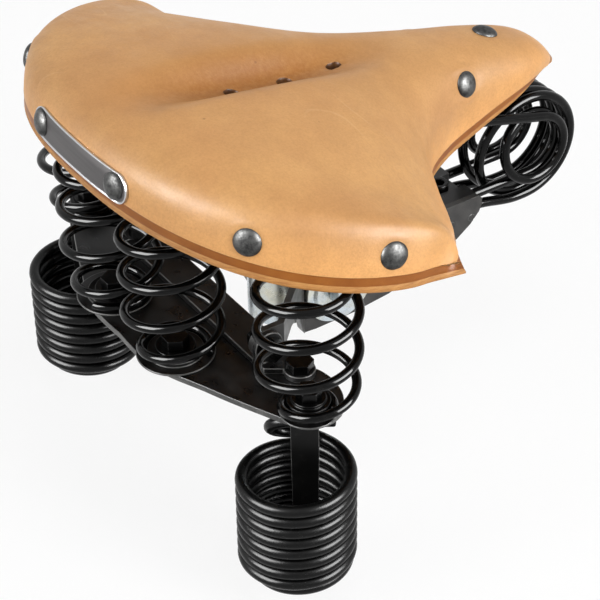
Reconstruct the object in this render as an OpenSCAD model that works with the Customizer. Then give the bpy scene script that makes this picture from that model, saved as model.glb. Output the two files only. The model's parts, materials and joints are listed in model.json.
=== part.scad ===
// Sprung leather bicycle saddle: hide on a cantle and nose plate, four compression springs,
// two tension coils, four front wires and a clamp for a seat post. Units are mm.
// X points to the rider's right, Y points forward, Z points up.
// The origin is the centre of the seat-post bore.

/* [View] */
// sub-part to draw, or all of them

/* [Leather] */
// thickness of the hide
leather_t = 5; // [3.5:0.25:6]
// depth of the centre groove
groove_depth = 12; // [6:0.5:15]
// half width of the centre groove
groove_width = 12.5; // [11:0.5:20]
// diameter of the vent holes
vent_d = 6.5; // [3:0.5:8]

/* [Rivets] */
// diameter of the rivet heads
rivet_d = 12; // [9:0.5:14]
// diameter of the rivet shanks
shank_d = 4.6; // [3:0.2:6]
// thickness of the badge plate
badge_t = 1.2; // [0.8:0.1:2]

/* [Compression springs] */
// outside diameter of the middle turns
spring_od = 47; // [40:0.5:50]
// outside diameter of the bottom turn of the inner springs
spring_foot_od = 35.2; // [33:0.2:38]
// outside diameter of the bottom turn of the outer springs
outer_foot_od = 26; // [25.6:0.2:27]
// outside diameter of the eye at the top
spring_eye_od = 21.2; // [18:0.2:24]
// wire diameter
spring_wire = 4.2; // [3:0.1:5]
// distance of the outer springs from the middle
outer_x = 93.5; // [88:0.5:96]
// place of the outer springs along the saddle
outer_y = -47.2; // [-52:0.2:-44]
// distance of the inner springs from the middle
inner_x = 26.5; // [25:0.5:32]
// place of the inner springs along the saddle
inner_y = -72; // [-76:0.5:-70]

/* [Tension coils] */
// outside diameter of the coils
coil_od = 53.2; // [50:0.2:55]
// wire diameter of the coils
coil_wire = 5.5; // [4.6:0.1:5.6]
// number of turns
coil_turns = 9; // [6:1:9]
// distance of the coils inside the outer springs
coil_inset = 0.1; // [0:0.1:1]
// place of the coils along the saddle
coil_y = -54.2; // [-58:0.2:-52]
// height of the lowest turn
coil_low = -73.4; // [-80:0.1:-73]
// gap from turn to turn
coil_gap = 0.5; // [0.45:0.05:0.6]
// stroke that stretches the coils
stroke = 3.5; // [2:0.5:5]

/* [Front wires] */
// wire diameter of the front loops
wire_d = 5; // [4:0.1:5]
// outside diameter of the outer loops
loop_outer_od = 59; // [57:0.5:60]
// outside diameter of the inner loops
loop_inner_od = 39; // [34:0.5:42]
// place of the loop centres along the saddle
loop_y = 138.5; // [134:0.5:142]
// height of the outer rails
rail_z = 8.5; // [7:0.5:10]
// height of the inner rails above the outer rails
rail_rise = 7.5; // [6.5:0.5:9]
// sideways step of a wire in one turn
loop_step = 5.6; // [5.5:0.1:6]

/* [Frame] */
// thickness of the plates
plate_t = 3; // [2:0.25:3.5]
// clear width between the side plates
side_gap = 31; // [30:0.5:34]
// height of the top face of the crescent plate
deck_z = 9.5; // [8:0.5:11]
// width of the cross bar
bar_w = 17; // [14:0.5:18]
// width of the stem bars
stem_w = 12; // [9:0.5:12]
// size of the small bolts
bolt_d = 6; // [5:0.5:6.5]

/* [Seat-post clamp] */
// diameter of the seat post
post_d = 22.2; // [22:0.1:25.4]
// wall of the band
band_t = 3.9; // [3:0.1:4.5]
// height of the band
band_h = 25; // [20:0.5:30]
// diameter of the cross bolt
cross_d = 8; // [6:0.5:9]
// diameter of the zinc caps
cap_d = 37; // [30:0.5:40]

/* [Fits] */
// radial play of pieces that turn or slide
run_fit = 0.05; // [0.03:0.01:0.1]
// radial play of bolts in their holes
bolt_fit = 0.1; // [0.05:0.05:0.3]
// gap between pieces that only face each other
face_gap = 0.3; // [0.2:0.05:0.5]

/* [Hidden] */

// colours
HIDE = [0.80, 0.53, 0.27];
BLACK = [0.07, 0.07, 0.075];
STEEL = [0.45, 0.46, 0.48];
ZINC = [0.70, 0.74, 0.76];
DARK = [0.22, 0.22, 0.23];

// control points of the hide: side rim from wing tip to nose corner
SIDE = [
  [outer_x + 30.5, 9, 75], [outer_x + 6.5, 24, 72], [70, 39, 66], [44, 54, 58],
  [30, 74, 57], [25, 98, 62.5], [20.5, 122, 68], [9, 145.5, 69.5]
];
// centre line from the rear rim to the nose rim, as along and up
MID = [
  [-100, 95], [-95, 117], [-72, 125], [-38, 124], [0, 119],
  [40, 110.6], [78, 104.3], [112, 97.4], [141, 87.5], [157, 71.5]
];
last = len(SIDE) - 1;
tail = len(MID) - 1;

// heights
deck_low = deck_z - plate_t;
bar_low = deck_z + face_gap;
bar_top = bar_low + plate_t;
foot_seat = deck_z + 1;
spring_low = foot_seat + spring_wire / 2 + 0.05;
cantle_low = 92;
cantle_t = 2.5;
cantle_top = cantle_low + cantle_t;
spring_top = cantle_low - spring_wire / 2 - 0.1;
hook_z = deck_low - stroke - 0.45 - coil_wire / 2;
arm_top = hook_z - coil_wire / 2 - 0.05;
arm_low = arm_top - plate_t;
coil_x = outer_x - coil_inset;
coil_r = (coil_od - coil_wire) / 2;
coil_pitch = coil_wire + coil_gap;

// places
guide = [outer_x - 23, -36.2];
bar_y = -40.85;
ear_in = 56;
ear_y = -44;
ear_z = 20.5;
bend_a = [side_gap / 2 + plate_t / 2, 1];
bend_b = [ear_in - plate_t / 2, -35];
hinge_y = 20;
hinge_z = 3;
side_in = side_gap / 2;
side_out = side_in + plate_t;
rail_y = 92.5;
pin_z = rail_z + 1;

// directions of the coil: across the stem bar and along it
ED = [0.833, -0.553];
ES = [0.553, 0.833];
// stem bar: near face across, middle along
stem_d = 0.8;
stem_s = 4;
hook_d = -9;

// general helpers
function flat(p) = [p[0], p[1]];
function unit(v) = v / norm(v);
function clip01(x) = min(max(x, 0), 1);
function ease(x) = let(c = clip01(x)) c * c * (3 - 2 * c);
function curve(p, t) = let(
  n = len(p) - 1,
  s = clip01(t) * n,
  i = min(floor(s), n - 1),
  f = s - i,
  b = p[i],
  c = p[i + 1],
  a = i > 0 ? p[i - 1] : 2 * b - c,
  d = i < n - 1 ? p[i + 2] : 2 * c - b
) 0.5 * (2 * b + (c - a) * f + (2 * a - 5 * b + 4 * c - d) * f * f + (3 * b - a - 3 * c + d) * f * f * f);
function steps(x, tab, i = 0) = i >= len(tab) - 2 || x <= tab[i + 1][0]
  ? let(a = tab[i], b = tab[i + 1]) a[1] + (b[1] - a[1]) * clip01((x - a[0]) / (b[0] - a[0]))
  : steps(x, tab, i + 1);
function spaced(a, b, n) = [for (i = [0 : n]) a + (b - a) * i / n];

module both() {
  children();
  mirror([1, 0, 0]) children();
}

module rod(d, h) {
  cylinder(d = d, h = h, $fn = 48);
}

module along_x(x, y, z) {
  translate([x, y, z]) rotate([0, 90, 0]) children();
}

module hex(flats, h) {
  cylinder(d = flats / cos(30), h = h, $fn = 6);
}

// hide surface, moved inwards by t
function side_at(t) = [for (i = [0 : last]) let(
  d = unit(flat(SIDE[min(i + 1, last)]) - flat(SIDE[max(i - 1, 0)])),
  q = flat(SIDE[i]) - t * [d[1], -d[0]],
  k = i == 0 ? (q[0] - SIDE[0][0] + t) / -d[0] : 0
) [q[0] + k * d[0], q[1] + k * d[1], SIDE[i][2]]];
function mid_at(t) = [for (i = [0 : tail]) let(
  d = unit(MID[min(i + 1, tail)] - MID[max(i - 1, 0)])
) i == 0 ? MID[0] + [t, 0] : i == tail ? MID[tail] - [t, 0] : MID[i] - t * [-d[1], d[0]]];
function hide_at(u, v, sides, mids) = let(
  s = curve(sides, pow(u, 1.55)),
  c = curve(mids, u),
  e0 = 0.2 + 0.26 * ease((u - 0.06) / 0.26),
  ez = e0 + (1.3 - e0) * exp(-u / 0.03),
  a = abs(v) * 90,
  k = max(cos(a), 1e-6),
  x = s[0] * pow(sin(a), 0.83) * sign(v),
  y = s[1] + (c[0] - s[1]) * pow(k, 0.83),
  z = s[2] + (c[1] - s[2]) * pow(k, ez),
  g = clip01((y + 87) / 150)
) [x, y, z - groove_depth * exp(-pow(x / groove_width, 2)) * pow(sin(180 * g), 1.5)];
function hide_point(u, v, t = 0) = hide_at(u, v, side_at(t), mid_at(t));
function hide_normal(u, v) = let(
  h = 0.012,
  s = side_at(0),
  m = mid_at(0),
  du = hide_at(min(u + h, 1), v, s, m) - hide_at(max(u - h, 0), v, s, m),
  dv = hide_at(u, min(v + h, 1), s, m) - hide_at(u, max(v - h, -1), s, m)
) unit(cross(dv, du));

// closed sheet between two depths under the hide surface
module hide_sheet(us, vs, t_out, t_in) {
  so = side_at(t_out);
  mo = mid_at(t_out);
  si = side_at(t_in);
  mi = mid_at(t_in);
  nu = len(us);
  nv = len(vs);
  n = nu * nv;
  outer = [for (u = us) for (v = vs) hide_at(u, v, so, mo)];
  inner = [for (u = us) for (v = vs) hide_at(u, v, si, mi)];
  skin = [for (i = [0 : nu - 2]) for (j = [0 : nv - 2]) let(a = i * nv + j) each [
    [a, a + nv, a + nv + 1], [a, a + nv + 1, a + 1],
    [n + a, n + a + nv + 1, n + a + nv], [n + a, n + a + 1, n + a + nv + 1]
  ]];
  ends = [for (j = [0 : nv - 2]) let(b = (nu - 1) * nv + j) each [
    [j, j + 1, n + j + 1], [j, n + j + 1, n + j],
    [b + 1, b, n + b], [b + 1, n + b, n + b + 1]
  ]];
  edges = [for (i = [0 : nu - 2]) let(a = i * nv, b = a + nv - 1) each [
    [a + nv, a, n + a], [a + nv, n + a, n + a + nv],
    [b, b + nv, n + b + nv], [b, n + b + nv, n + b]
  ]];
  polyhedron(points = concat(outer, inner), faces = concat(skin, ends, edges), convexity = 8);
}

// wire swept along a path of points, six sided
function frame_next(n, d) = unit(n - (n * d) * d);
function path_dir(p, i) = unit(p[min(i + 1, len(p) - 1)] - p[max(i - 1, 0)]);
module wire(p, d) {
  m = len(p);
  dirs = [for (i = [0 : m - 1]) path_dir(p, i)];
  start = abs(dirs[0][2]) < 0.9 ? [0, 0, 1] : [1, 0, 0];
  norms = [for (i = 0, v = frame_next(start, dirs[0]); i < m;
    v = frame_next(v, dirs[min(i + 1, m - 1)]), i = i + 1) v];
  pts = [for (i = [0 : m - 1]) let(b = cross(dirs[i], norms[i])) for (k = [0 : 5])
    p[i] + d / 2 * (cos(60 * k) * norms[i] + sin(60 * k) * b)];
  skin = [for (i = [0 : m - 2]) for (k = [0 : 5]) let(a = 6 * i + k, c = 6 * i + (k + 1) % 6) each [
    [a, a + 6, c], [c, a + 6, c + 6]
  ]];
  low = [for (k = [1 : 4]) [0, k, k + 1]];
  top = 6 * (m - 1);
  high = [for (k = [1 : 4]) [top, top + k + 1, top + k]];
  polyhedron(points = pts, faces = concat(skin, low, high), convexity = 10);
}
function least_gap(p, d, skip) = min([for (i = [0 : len(p) - 1 - skip])
  for (j = [i + skip : len(p) - 1]) norm(p[i] - p[j])]) - d;

// compression spring: flat foot turn, wide turns, eye on top
spring_mid_r = (spring_od - spring_wire) / 2;
spring_foot_r = (spring_foot_od - spring_wire) / 2;
outer_foot_r = (outer_foot_od - spring_wire) / 2;
spring_eye_r = (spring_eye_od - spring_wire) / 2;
RISE = [[0, 0], [0.5, 0.004], [0.8, 0.074], [1.8, 0.335], [2.8, 0.592], [3.8, 0.833],
  [4.05, 0.857], [4.3, 1], [5.12, 1]];
function spring_r(t, foot, k) = foot + (spring_mid_r - foot) * ease((t - k) / (1.2 - k))
  + (spring_eye_r - spring_mid_r) * ease((t - 3.78) / 0.68);
function spring_path(c, a0, foot, k) = [for (t = spaced(0, 5.12, 46))
  let(a = a0 + 360 * t, r = spring_r(t, foot, k))
  [c[0] + r * cos(a), c[1] + r * sin(a), spring_low + (spring_top - spring_low) * steps(t, RISE)]];

inner_l = spring_path([-inner_x, inner_y], -66, spring_foot_r, 0.6);
inner_r = spring_path([inner_x, inner_y], 38.5, spring_foot_r, 0.6);
outer_l = spring_path([-outer_x, outer_y], -66, outer_foot_r, 0.42);
outer_r = spring_path([outer_x, outer_y], 38.5, outer_foot_r, 0.42);

// tension coil on the right: leg through the stem bar, turns, rise and hook
function coil_at(d, s, z) = [coil_x + d * ED[0] + s * ES[0], coil_y + d * ED[1] + s * ES[1], z];
function bow(a, b, c, d, t) = let(k = 1 - t)
  k * k * k * a + 3 * k * k * t * b + 3 * k * t * t * c + t * t * t * d;
fillet = 6;
coil_in = 6;
fillet_s = stem_s - fillet;
fillet_d = -sqrt(pow(coil_r - coil_in - fillet, 2) - pow(fillet_s, 2));
coil_a0 = atan2(fillet_s, fillet_d) + 360;
coil_a1 = 150;
coil_end = coil_turns * 360 + coil_a1;
function coil_z(a) = coil_low + coil_pitch * (a - coil_a0) / 360;
function coil_out(a) = coil_r - coil_in * (1 - ease((a - coil_a0) / 360));
coil_tip = [coil_r * cos(coil_a1), coil_r * sin(coil_a1)];
coil_run = [-sin(coil_a1), cos(coil_a1)];
// half turn of the hook: its lower and upper strand
hook_s = -2;
hook_across = 5.5;
hook_up = 7.5;
hook_r = norm([hook_across, hook_up]);
function hook_at(a) = coil_at(hook_d - hook_across * (1 - sin(a)), hook_s - hook_r * cos(a),
  hook_z - hook_up * (1 - sin(a)));
coil_path = concat(
  [for (d = [7, 1, -5]) coil_at(d, stem_s, coil_low)],
  [for (a = spaced(90, coil_a0, 6))
    coil_at(fillet_d + fillet * cos(a), fillet_s + fillet * sin(a), coil_low)],
  [for (a = spaced(coil_a0, coil_end, round((coil_end - coil_a0) / 45))) if (a > coil_a0)
    coil_at(coil_out(a) * cos(a), coil_out(a) * sin(a), coil_z(a))],
  [for (t = [0.3, 0.65]) bow(
    coil_at(coil_tip[0], coil_tip[1], coil_z(coil_end)),
    coil_at(coil_tip[0] + 6 * coil_run[0], coil_tip[1] + 6 * coil_run[1], coil_z(coil_end) + 0.6),
    hook_at(-90) + 6 * [ES[0], ES[1], 0], hook_at(-90), t)],
  [for (a = spaced(-90, 90, 8)) hook_at(a)],
  [for (s = [4, 10, 16.5]) coil_at(hook_d, s, hook_z)]
);

// front wire on the right: rail, one and a half turns, rising leg
leave = 75;
function loop_shift(a) = ease((a - 90) / 180);
// the rail leaves its clamp at the height z0 and comes down to the loop
function loop_path(r, low, z0, x0, x1, back, front, n) = concat(
  [for (y = concat([back], spaced(105, loop_y - 4, n)))
    [x0, y, low + (z0 - low) * (1 - ease((y - 106) / 28))]],
  [for (a = spaced(-90, 360 + leave, 28)) [x0 + (x1 - x0) * loop_shift(a),
    loop_y + r * cos(a), low + r + r * sin(a)]],
  [for (k = spaced(12, front, 4)) [x1, leg_at(r, low, k)[0], leg_at(r, low, k)[1]]]
);
function leg_at(r, low, k) = [loop_y + r * cos(leave) - k * sin(leave),
  low + r + r * sin(leave) + k * cos(leave)];
loop_outer_r = (loop_outer_od - wire_d) / 2;
loop_inner_r = (loop_inner_od - wire_d) / 2;
rail_outer_x = 9.2;
rail_inner_x = 10.4;
leg_outer_x = rail_outer_x - loop_step;
leg_inner_x = rail_inner_x + loop_step;
inner_low = rail_z + rail_rise;
outer_low = rail_z + 48.1 - loop_outer_r * (1 + sin(leave));
wire_outer = loop_path(loop_outer_r, outer_low, rail_z, rail_outer_x, leg_outer_x, rail_y - 17, 72.6, 5);
wire_inner = loop_path(loop_inner_r, inner_low, inner_low, rail_inner_x, leg_inner_x, rail_y - 17, 70, 1);

echo(gap_spring = least_gap(outer_r, spring_wire, 7));
echo(gap_coil = least_gap(coil_path, coil_wire, 7));
echo(gap_wire_outer = least_gap(wire_outer, wire_d, 8), gap_wire_inner = least_gap(wire_inner, wire_d, 8));

// seat-post clamp
module post_band() color(ZINC) {
  difference() {
    union() {
      translate([0, 0, -band_h / 2]) cylinder(d = post_d + 2 * band_t, h = band_h, $fn = 96);
      along_x(-side_in + 0.2, hinge_y, hinge_z) cylinder(d = 19, h = side_gap - 0.4, $fn = 72);
      translate([-side_in + 5, 4, hinge_z - 9.5]) cube([side_gap - 10, hinge_y - 4, 19]);
    }
    translate([0, 0, -band_h]) cylinder(d = post_d, h = 2 * band_h, $fn = 96);
    translate([-1.5, 0, -band_h]) cube([3, 40, 2 * band_h]);
    along_x(-30, hinge_y, hinge_z) rod(cross_d + 2 * bolt_fit, 60);
  }
}

module clamp_bolt() color(ZINC) along_x(-side_out - 12.5, hinge_y, hinge_z) rod(cross_d, 2 * side_out + 25);

module clamp_nuts() color(ZINC) both() along_x(side_out + 4.3, hinge_y, hinge_z) difference() {
  union() {
    hex(13, 6);
    rod(15, 1);
  }
  translate([0, 0, -1]) rod(cross_d + 0.1, 10);
}

module clamp_caps() color(ZINC) both() along_x(side_out + 0.2, hinge_y, hinge_z) difference() {
  union() {
    cylinder(d = cap_d, h = 2.4, $fn = 96);
    cylinder(d1 = cap_d - 3, d2 = cap_d - 9, h = 4, $fn = 96);
  }
  translate([0, 0, -1]) rod(cross_d + 2 * bolt_fit, 10);
}

// side plate: bent strip in plan, cut to its profile seen from the side
strap_dir = unit(bend_b - bend_a);
strap_nor = [-strap_dir[1], strap_dir[0]];
mitre = plate_t / 2 * ([1, 0] + strap_nor) / (1 + strap_nor[0]);
half_t = [plate_t / 2, 0];
plate_front = [bend_a[0], 104.5];
plate_back = [bend_b[0], ear_y - 7];
PROFILE = [
  [1, -17], [8, -17.6], [30, -17.3], [37, -16.4], [50, -15], [64, -10.5], [77, -5], [90, 0.4],
  [98, 6], [103, 11.5], [104.5, 15], [104.5, 18.6], [102.5, 20.6], [1, 20.6],
  [-10, 23], [-22, 26], [-35, 27.5]
];
UNDER = [[-35, 13.4], [-22, 12], [-14.2, 8], [-8.7, 2.5], [-5.2, -5], [-2.5, -12]];
tab_end = [for (a = spaced(90, 270, 12)) [ear_y + 7 * cos(a), ear_z + 7 * sin(a)]];
module side_plate_right() color(DARK) difference() {
  intersection() {
    translate([0, 0, -30]) linear_extrude(70) polygon([
      plate_front + half_t, bend_a + mitre, bend_b + mitre, plate_back + half_t,
      plate_back - half_t, bend_b - mitre, bend_a - mitre, plate_front - half_t
    ]);
    rotate([90, 0, 90]) linear_extrude(80) polygon(concat(PROFILE, tab_end, UNDER));
  }
  along_x(0, hinge_y, hinge_z) rod(cross_d + 2 * run_fit, 40);
  along_x(30, ear_y, ear_z) rod(bolt_d + 2 * bolt_fit, 60);
  for (y = [rail_y - 6, rail_y + 6]) along_x(0, y, pin_z) rod(4, 40);
}

module side_plate_left() mirror([1, 0, 0]) side_plate_right();

module cross_bar() color(BLACK) difference() {
  union() {
    translate([-62, bar_y - bar_w / 2, bar_low]) cube([124, bar_w, plate_t]);
    both() {
      translate([guide[0], guide[1], bar_low]) cylinder(r = 7, h = plate_t, $fn = 64);
      translate([0, 0, bar_low]) linear_extrude(plate_t) polygon([
        [60, bar_y + bar_w / 2], [60, bar_y - bar_w / 2], [62, bar_y - bar_w / 2],
        [guide[0] - 3.5, guide[1] - 6.06], guide, [guide[0], guide[1] + 7], [66, guide[1] + 6]
      ]);
      translate([ear_in, ear_y - 7, bar_low]) cube([plate_t, 14, ear_z - bar_low]);
      along_x(ear_in, ear_y, ear_z) cylinder(d = 14, h = plate_t, $fn = 64);
    }
  }
  both() along_x(30, ear_y, ear_z) rod(bolt_d + 2 * bolt_fit, 60);
  both() translate([guide[0], guide[1], 0]) rod(bolt_d + 2 * bolt_fit, 30);
}

module ear_bolts() color(BLACK) both() {
  along_x(ear_in - plate_t - 4.2, ear_y, ear_z) hex(10, 4.2);
  along_x(ear_in - plate_t - 1, ear_y, ear_z) rod(bolt_d, 2 * plate_t + 6.5);
}

module ear_nuts() color(BLACK) both() along_x(ear_in + plate_t, ear_y, ear_z) difference() {
  hex(10, 4.8);
  translate([0, 0, -1]) rod(bolt_d + 0.1, 10);
}

module guide_bolts() color(BLACK) both() translate([guide[0], guide[1], 0]) {
  translate([0, 0, bar_top]) hex(11, 4.6);
  translate([0, 0, arm_low - 5.2]) rod(bolt_d, bar_top - arm_low + 6.2);
}

module guide_nuts() color(BLACK) both() translate([guide[0], guide[1], arm_low - 4.8]) difference() {
  hex(10, 4.8);
  translate([0, 0, -1]) rod(bolt_d + 0.1, 10);
}

// arm under the crescent plate that carries the hook of a tension coil
ARM = [
  [-36, -3], [-36, 6], [-33, 9], [-28, 10], [-7, 10], [-5, 8],
  [-5, 0.5], [-7, -1.4], [-19, -1.4], [-23, -4.5], [-33, -5]
];
module hanger_arm_right() color(BLACK) difference() {
  translate([0, 0, arm_low]) linear_extrude(plate_t) polygon([for (p = ARM) flat(coil_at(p[0], p[1], 0))]);
  translate([guide[0], guide[1], -40]) rod(bolt_d + 2 * bolt_fit, 60);
}

module hanger_arm_left() mirror([1, 0, 0]) hanger_arm_right();

// clamp of the rails between the side plates
saddle_low = rail_z - 6;
saddle_top = rail_z + rail_rise / 2 - 0.25;
cap_top = rail_z + rail_rise + 4;
cap_seat = cap_top - 4;
module rail_holes() both() {
  translate([rail_outer_x, 60, rail_z]) rotate([-90, 0, 0]) rod(wire_d + 0.2, 60);
  translate([rail_inner_x, 60, rail_z + rail_rise]) rotate([-90, 0, 0]) rod(wire_d + 0.2, 60);
}

module rail_saddle() color(BLACK) difference() {
  translate([-side_in + 0.02, rail_y - 11, saddle_low]) cube([side_gap - 0.04, 22, saddle_top - saddle_low]);
  rail_holes();
  translate([-30, rail_y + 2, saddle_low]) rotate([41, 0, 0]) translate([0, -5, -20]) cube([60, 40, 20]);
  translate([0, rail_y, -10]) rod(bolt_d + 2 * bolt_fit, 40);
  both() for (y = [rail_y - 6, rail_y + 6]) along_x(side_in - 2.5, y, pin_z) rod(4, 10);
}

module rail_cap() color(BLACK) difference() {
  translate([-side_in + 0.5, rail_y - 11, saddle_top + 0.2])
    cube([side_gap - 1, 22, cap_top - saddle_top - 0.2]);
  rail_holes();
  translate([0, rail_y, -10]) rod(bolt_d + 2 * bolt_fit, 40);
  translate([-6, rail_y - 12, cap_seat]) cube([12, 24, 10]);
}

module rail_bolt() color(BLACK) difference() {
  translate([0, rail_y, 0]) union() {
    translate([0, 0, cap_seat]) rod(9.4, 6.2);
    translate([0, 0, saddle_low - 6]) rod(bolt_d, cap_seat - saddle_low + 6.5);
  }
  translate([0, rail_y, cap_seat + 2.5]) hex(5, 6);
}

module rail_nut() color(BLACK) translate([0, rail_y, saddle_low - 4.8]) difference() {
  hex(10, 4.8);
  translate([0, 0, -1]) rod(bolt_d + 0.1, 10);
}

module bridge_pins() color(DARK) both() for (y = [rail_y - 6, rail_y + 6])
  along_x(side_in - 2.4, y, pin_z) rod(3.96, plate_t + 2.4);

// springs and wires
module wire_outer_right() color(BLACK) wire(wire_outer, wire_d);
module wire_outer_left() mirror([1, 0, 0]) wire_outer_right();
module wire_inner_right() color(BLACK) wire(wire_inner, wire_d);
module wire_inner_left() mirror([1, 0, 0]) wire_inner_right();
module tension_coil_right() color(BLACK) wire(coil_path, coil_wire);
module tension_coil_left() mirror([1, 0, 0]) tension_coil_right();
module spring_inner_left() color(BLACK) wire(inner_l, spring_wire);
module spring_inner_right() color(BLACK) wire(inner_r, spring_wire);
module spring_outer_left() color(BLACK) wire(outer_l, spring_wire);
module spring_outer_right() color(BLACK) wire(outer_r, spring_wire);

// crescent plate that carries the lower spring ends
DECK = [
  [0, -85.5], [12, -86], [24, -85.5], [38, -81.5], [52, -75.5], [66, -70],
  [outer_x - 11.5, -63], [outer_x + 1.5, -56.5], [outer_x + 9.5, -47], [outer_x + 8, -36],
  [outer_x - 0.5, -29], [outer_x - 10.5, -26.5], [outer_x - 18.5, -27], [outer_x - 25.5, -29.5],
  [outer_x - 33.5, -32.3], [50, -32.3]
];
deck_half = [for (t = spaced(0, 1, 60)) curve(DECK, t)];
deck_outline = concat(deck_half, [for (i = [60 : -1 : 1]) [-deck_half[i][0], deck_half[i][1]]]);
// pocket in the underside of the plate for the foot of a stem bar
strap_t = 0.55 * plate_t;
strap_top = deck_low + strap_t + 0.05;
module stem_slot() translate([coil_x, coil_y, 0]) rotate([0, 0, atan2(ED[1], ED[0])])
  translate([-9 - face_gap, stem_s - stem_w / 2 - face_gap, deck_low - 20])
    cube([50, stem_w + 2 * face_gap, 20 + strap_t + 0.1]);

module crescent_plate() color(BLACK) difference() {
  translate([0, 0, deck_low]) linear_extrude(plate_t) polygon(deck_outline);
  both() {
    translate([guide[0], guide[1], 0]) rod(bolt_d + 2 * run_fit, 30);
    translate([inner_x, inner_y, 0]) rod(bolt_d + 2 * bolt_fit, 30);
    translate([outer_x, outer_y, 0]) rod(bolt_d + 2 * bolt_fit, 30);
    stem_slot();
  }
}

module spring_seats() color(BLACK) both() {
  difference() {
    translate([inner_x, inner_y, deck_z]) union() {
      cylinder(d = spring_foot_od, h = 1, $fn = 72);
      cylinder(r = spring_foot_r - spring_wire / 2 - 3 * face_gap, h = 3, $fn = 72);
    }
    translate([inner_x, inner_y, 0]) rod(bolt_d + 2 * bolt_fit, 30);
  }
  difference() {
    translate([outer_x, outer_y, deck_z]) cylinder(d = outer_foot_od - 0.6, h = 1, $fn = 72);
    translate([outer_x, outer_y, 0]) rod(bolt_d + 2 * bolt_fit, 30);
  }
}

// stem bar: foot let into the crescent plate, strip down through the coil
stem_low = coil_low - 5.4;
module stem_bar_right() color(STEEL) difference() {
  translate([coil_x, coil_y, 0]) rotate([0, 0, atan2(ED[1], ED[0])]) union() {
    translate([-9, stem_s - stem_w / 2, deck_low + 0.05]) cube([9 + stem_d + plate_t, stem_w, strap_t]);
    translate([stem_d, stem_s, 0]) rotate([90, 0, 90]) linear_extrude(plate_t) polygon([
      [-stem_w / 2, strap_top], [-stem_w / 2, -8], [-stem_w / 2 + 0.8, stem_low + 3],
      [-stem_w / 2 + 3, stem_low], [stem_w / 2 - 3, stem_low], [stem_w / 2 - 0.8, stem_low + 3],
      [stem_w / 2, -8], [stem_w / 2, strap_top]
    ]);
  }
  translate([outer_x, outer_y, 0]) rod(bolt_d + 2 * bolt_fit, 30);
  translate([coil_x, coil_y, coil_low]) rotate([0, 0, atan2(ED[1], ED[0])])
    translate([-10, stem_s, 0]) rotate([0, 90, 0]) rod(coil_wire + 2 * face_gap, 30);
}

module stem_bar_left() mirror([1, 0, 0]) stem_bar_right();

// hub inside the foot of an outer spring, with a washer that holds the foot down
hub_h = spring_wire + 0.4;
module stem_washers() color(BLACK) both() translate([outer_x, outer_y, foot_seat]) difference() {
  union() {
    cylinder(r = outer_foot_r - spring_wire / 2 - 3 * face_gap, h = hub_h, $fn = 64);
    translate([0, 0, hub_h]) cylinder(d = 19, h = 1.2, $fn = 64);
    translate([0, 0, hub_h]) cylinder(d = 15, h = 2.6, $fn = 64);
  }
  translate([0, 0, -1]) rod(bolt_d + 2 * bolt_fit, 20);
}

module stem_bolts() color(BLACK) both() translate([outer_x, outer_y, 0]) {
  translate([0, 0, foot_seat + hub_h + 2.6]) hex(10, 4.4);
  translate([0, 0, deck_low + 0.1]) rod(bolt_d, foot_seat + hub_h + 4 - deck_low);
}

module seat_washers() color(BLACK) both() translate([inner_x, inner_y, deck_z + 3]) difference() {
  cylinder(d = 18, h = 1.6, $fn = 64);
  translate([0, 0, -1]) rod(bolt_d + 2 * bolt_fit, 10);
}

module seat_bolts() color(BLACK) both() translate([inner_x, inner_y, 0]) {
  translate([0, 0, deck_z + 4.6]) hex(11, 5);
  translate([0, 0, deck_low - 6]) rod(bolt_d, plate_t + 12);
}

module seat_nuts() color(BLACK) both() translate([inner_x, inner_y, deck_low - 4.8]) difference() {
  hex(10, 4.8);
  translate([0, 0, -1]) rod(bolt_d + 0.1, 10);
}

// hide and what it is riveted to
hide_u = [for (i = [0 : 19]) pow(i / 19, 1.4)];
HALF = [0.024, 0.056, 0.105, 0.19, 0.33, 0.469, 0.59, 0.694, 0.782, 0.854, 0.911, 0.953, 0.981, 0.996, 1];
hide_v = concat([for (i = [14 : -1 : 0]) -HALF[i]], [0], HALF);
function grid(list, a, b) = [for (i = [a : b]) list[i]];
VENTS = [-22, 5, 31];
module leather_top() color(HIDE) difference() {
  hide_sheet(hide_u, hide_v, 0, leather_t);
  for (y = VENTS) translate([0, y, 90]) cylinder(d = vent_d, h = 40, $fn = 16);
}

plate_in = leather_t + 0.2;
rim_in = plate_in + 2;
module cantle_rim() color(DARK) hide_sheet(grid(hide_u, 2, 5), grid(hide_v, 8, 22), plate_in, rim_in);

cantle_side = side_at(rim_in + 0.7);
cantle_mid = mid_at(rim_in + 0.7);
cantle_back = [for (v = spaced(-0.82, 0.82, 48)) flat(hide_at(0, v, cantle_side, cantle_mid))];
TABS = [-0.4, -0.21, 0.21, 0.4];
module cantle_tab(v) {
  p = hide_at(0.085, v, side_at(rim_in + 2.6), mid_at(rim_in + 2.6));
  n = hide_normal(0.02, v);
  translate([p[0], p[1], cantle_low]) rotate([0, 0, atan2(n[1], n[0])])
    translate([-cantle_t, -8, 0]) cube([cantle_t, 16, p[2] - cantle_low]);
}

module cantle_plate() color(DARK) difference() {
  union() {
    translate([0, 0, cantle_low]) linear_extrude(cantle_t) polygon(concat(cantle_back, [
      [outer_x + 4.5, -26], [outer_x - 9.5, -28], [outer_x - 27.5, -38], [46, -52], [24, -57], [0, -58],
      [-24, -57], [-46, -52], [27.5 - outer_x, -38], [9.5 - outer_x, -28], [-outer_x - 4.5, -26]
    ]));
    for (v = TABS) cantle_tab(v);
  }
  both() {
    translate([inner_x, inner_y, 80]) rod(bolt_d + 2 * bolt_fit, 30);
    translate([outer_x, outer_y, 80]) rod(bolt_d + 2 * bolt_fit, 30);
  }
}

module at_eyes() both() {
  translate([inner_x, inner_y, 0]) children();
  translate([outer_x, outer_y, 0]) children();
}

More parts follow.
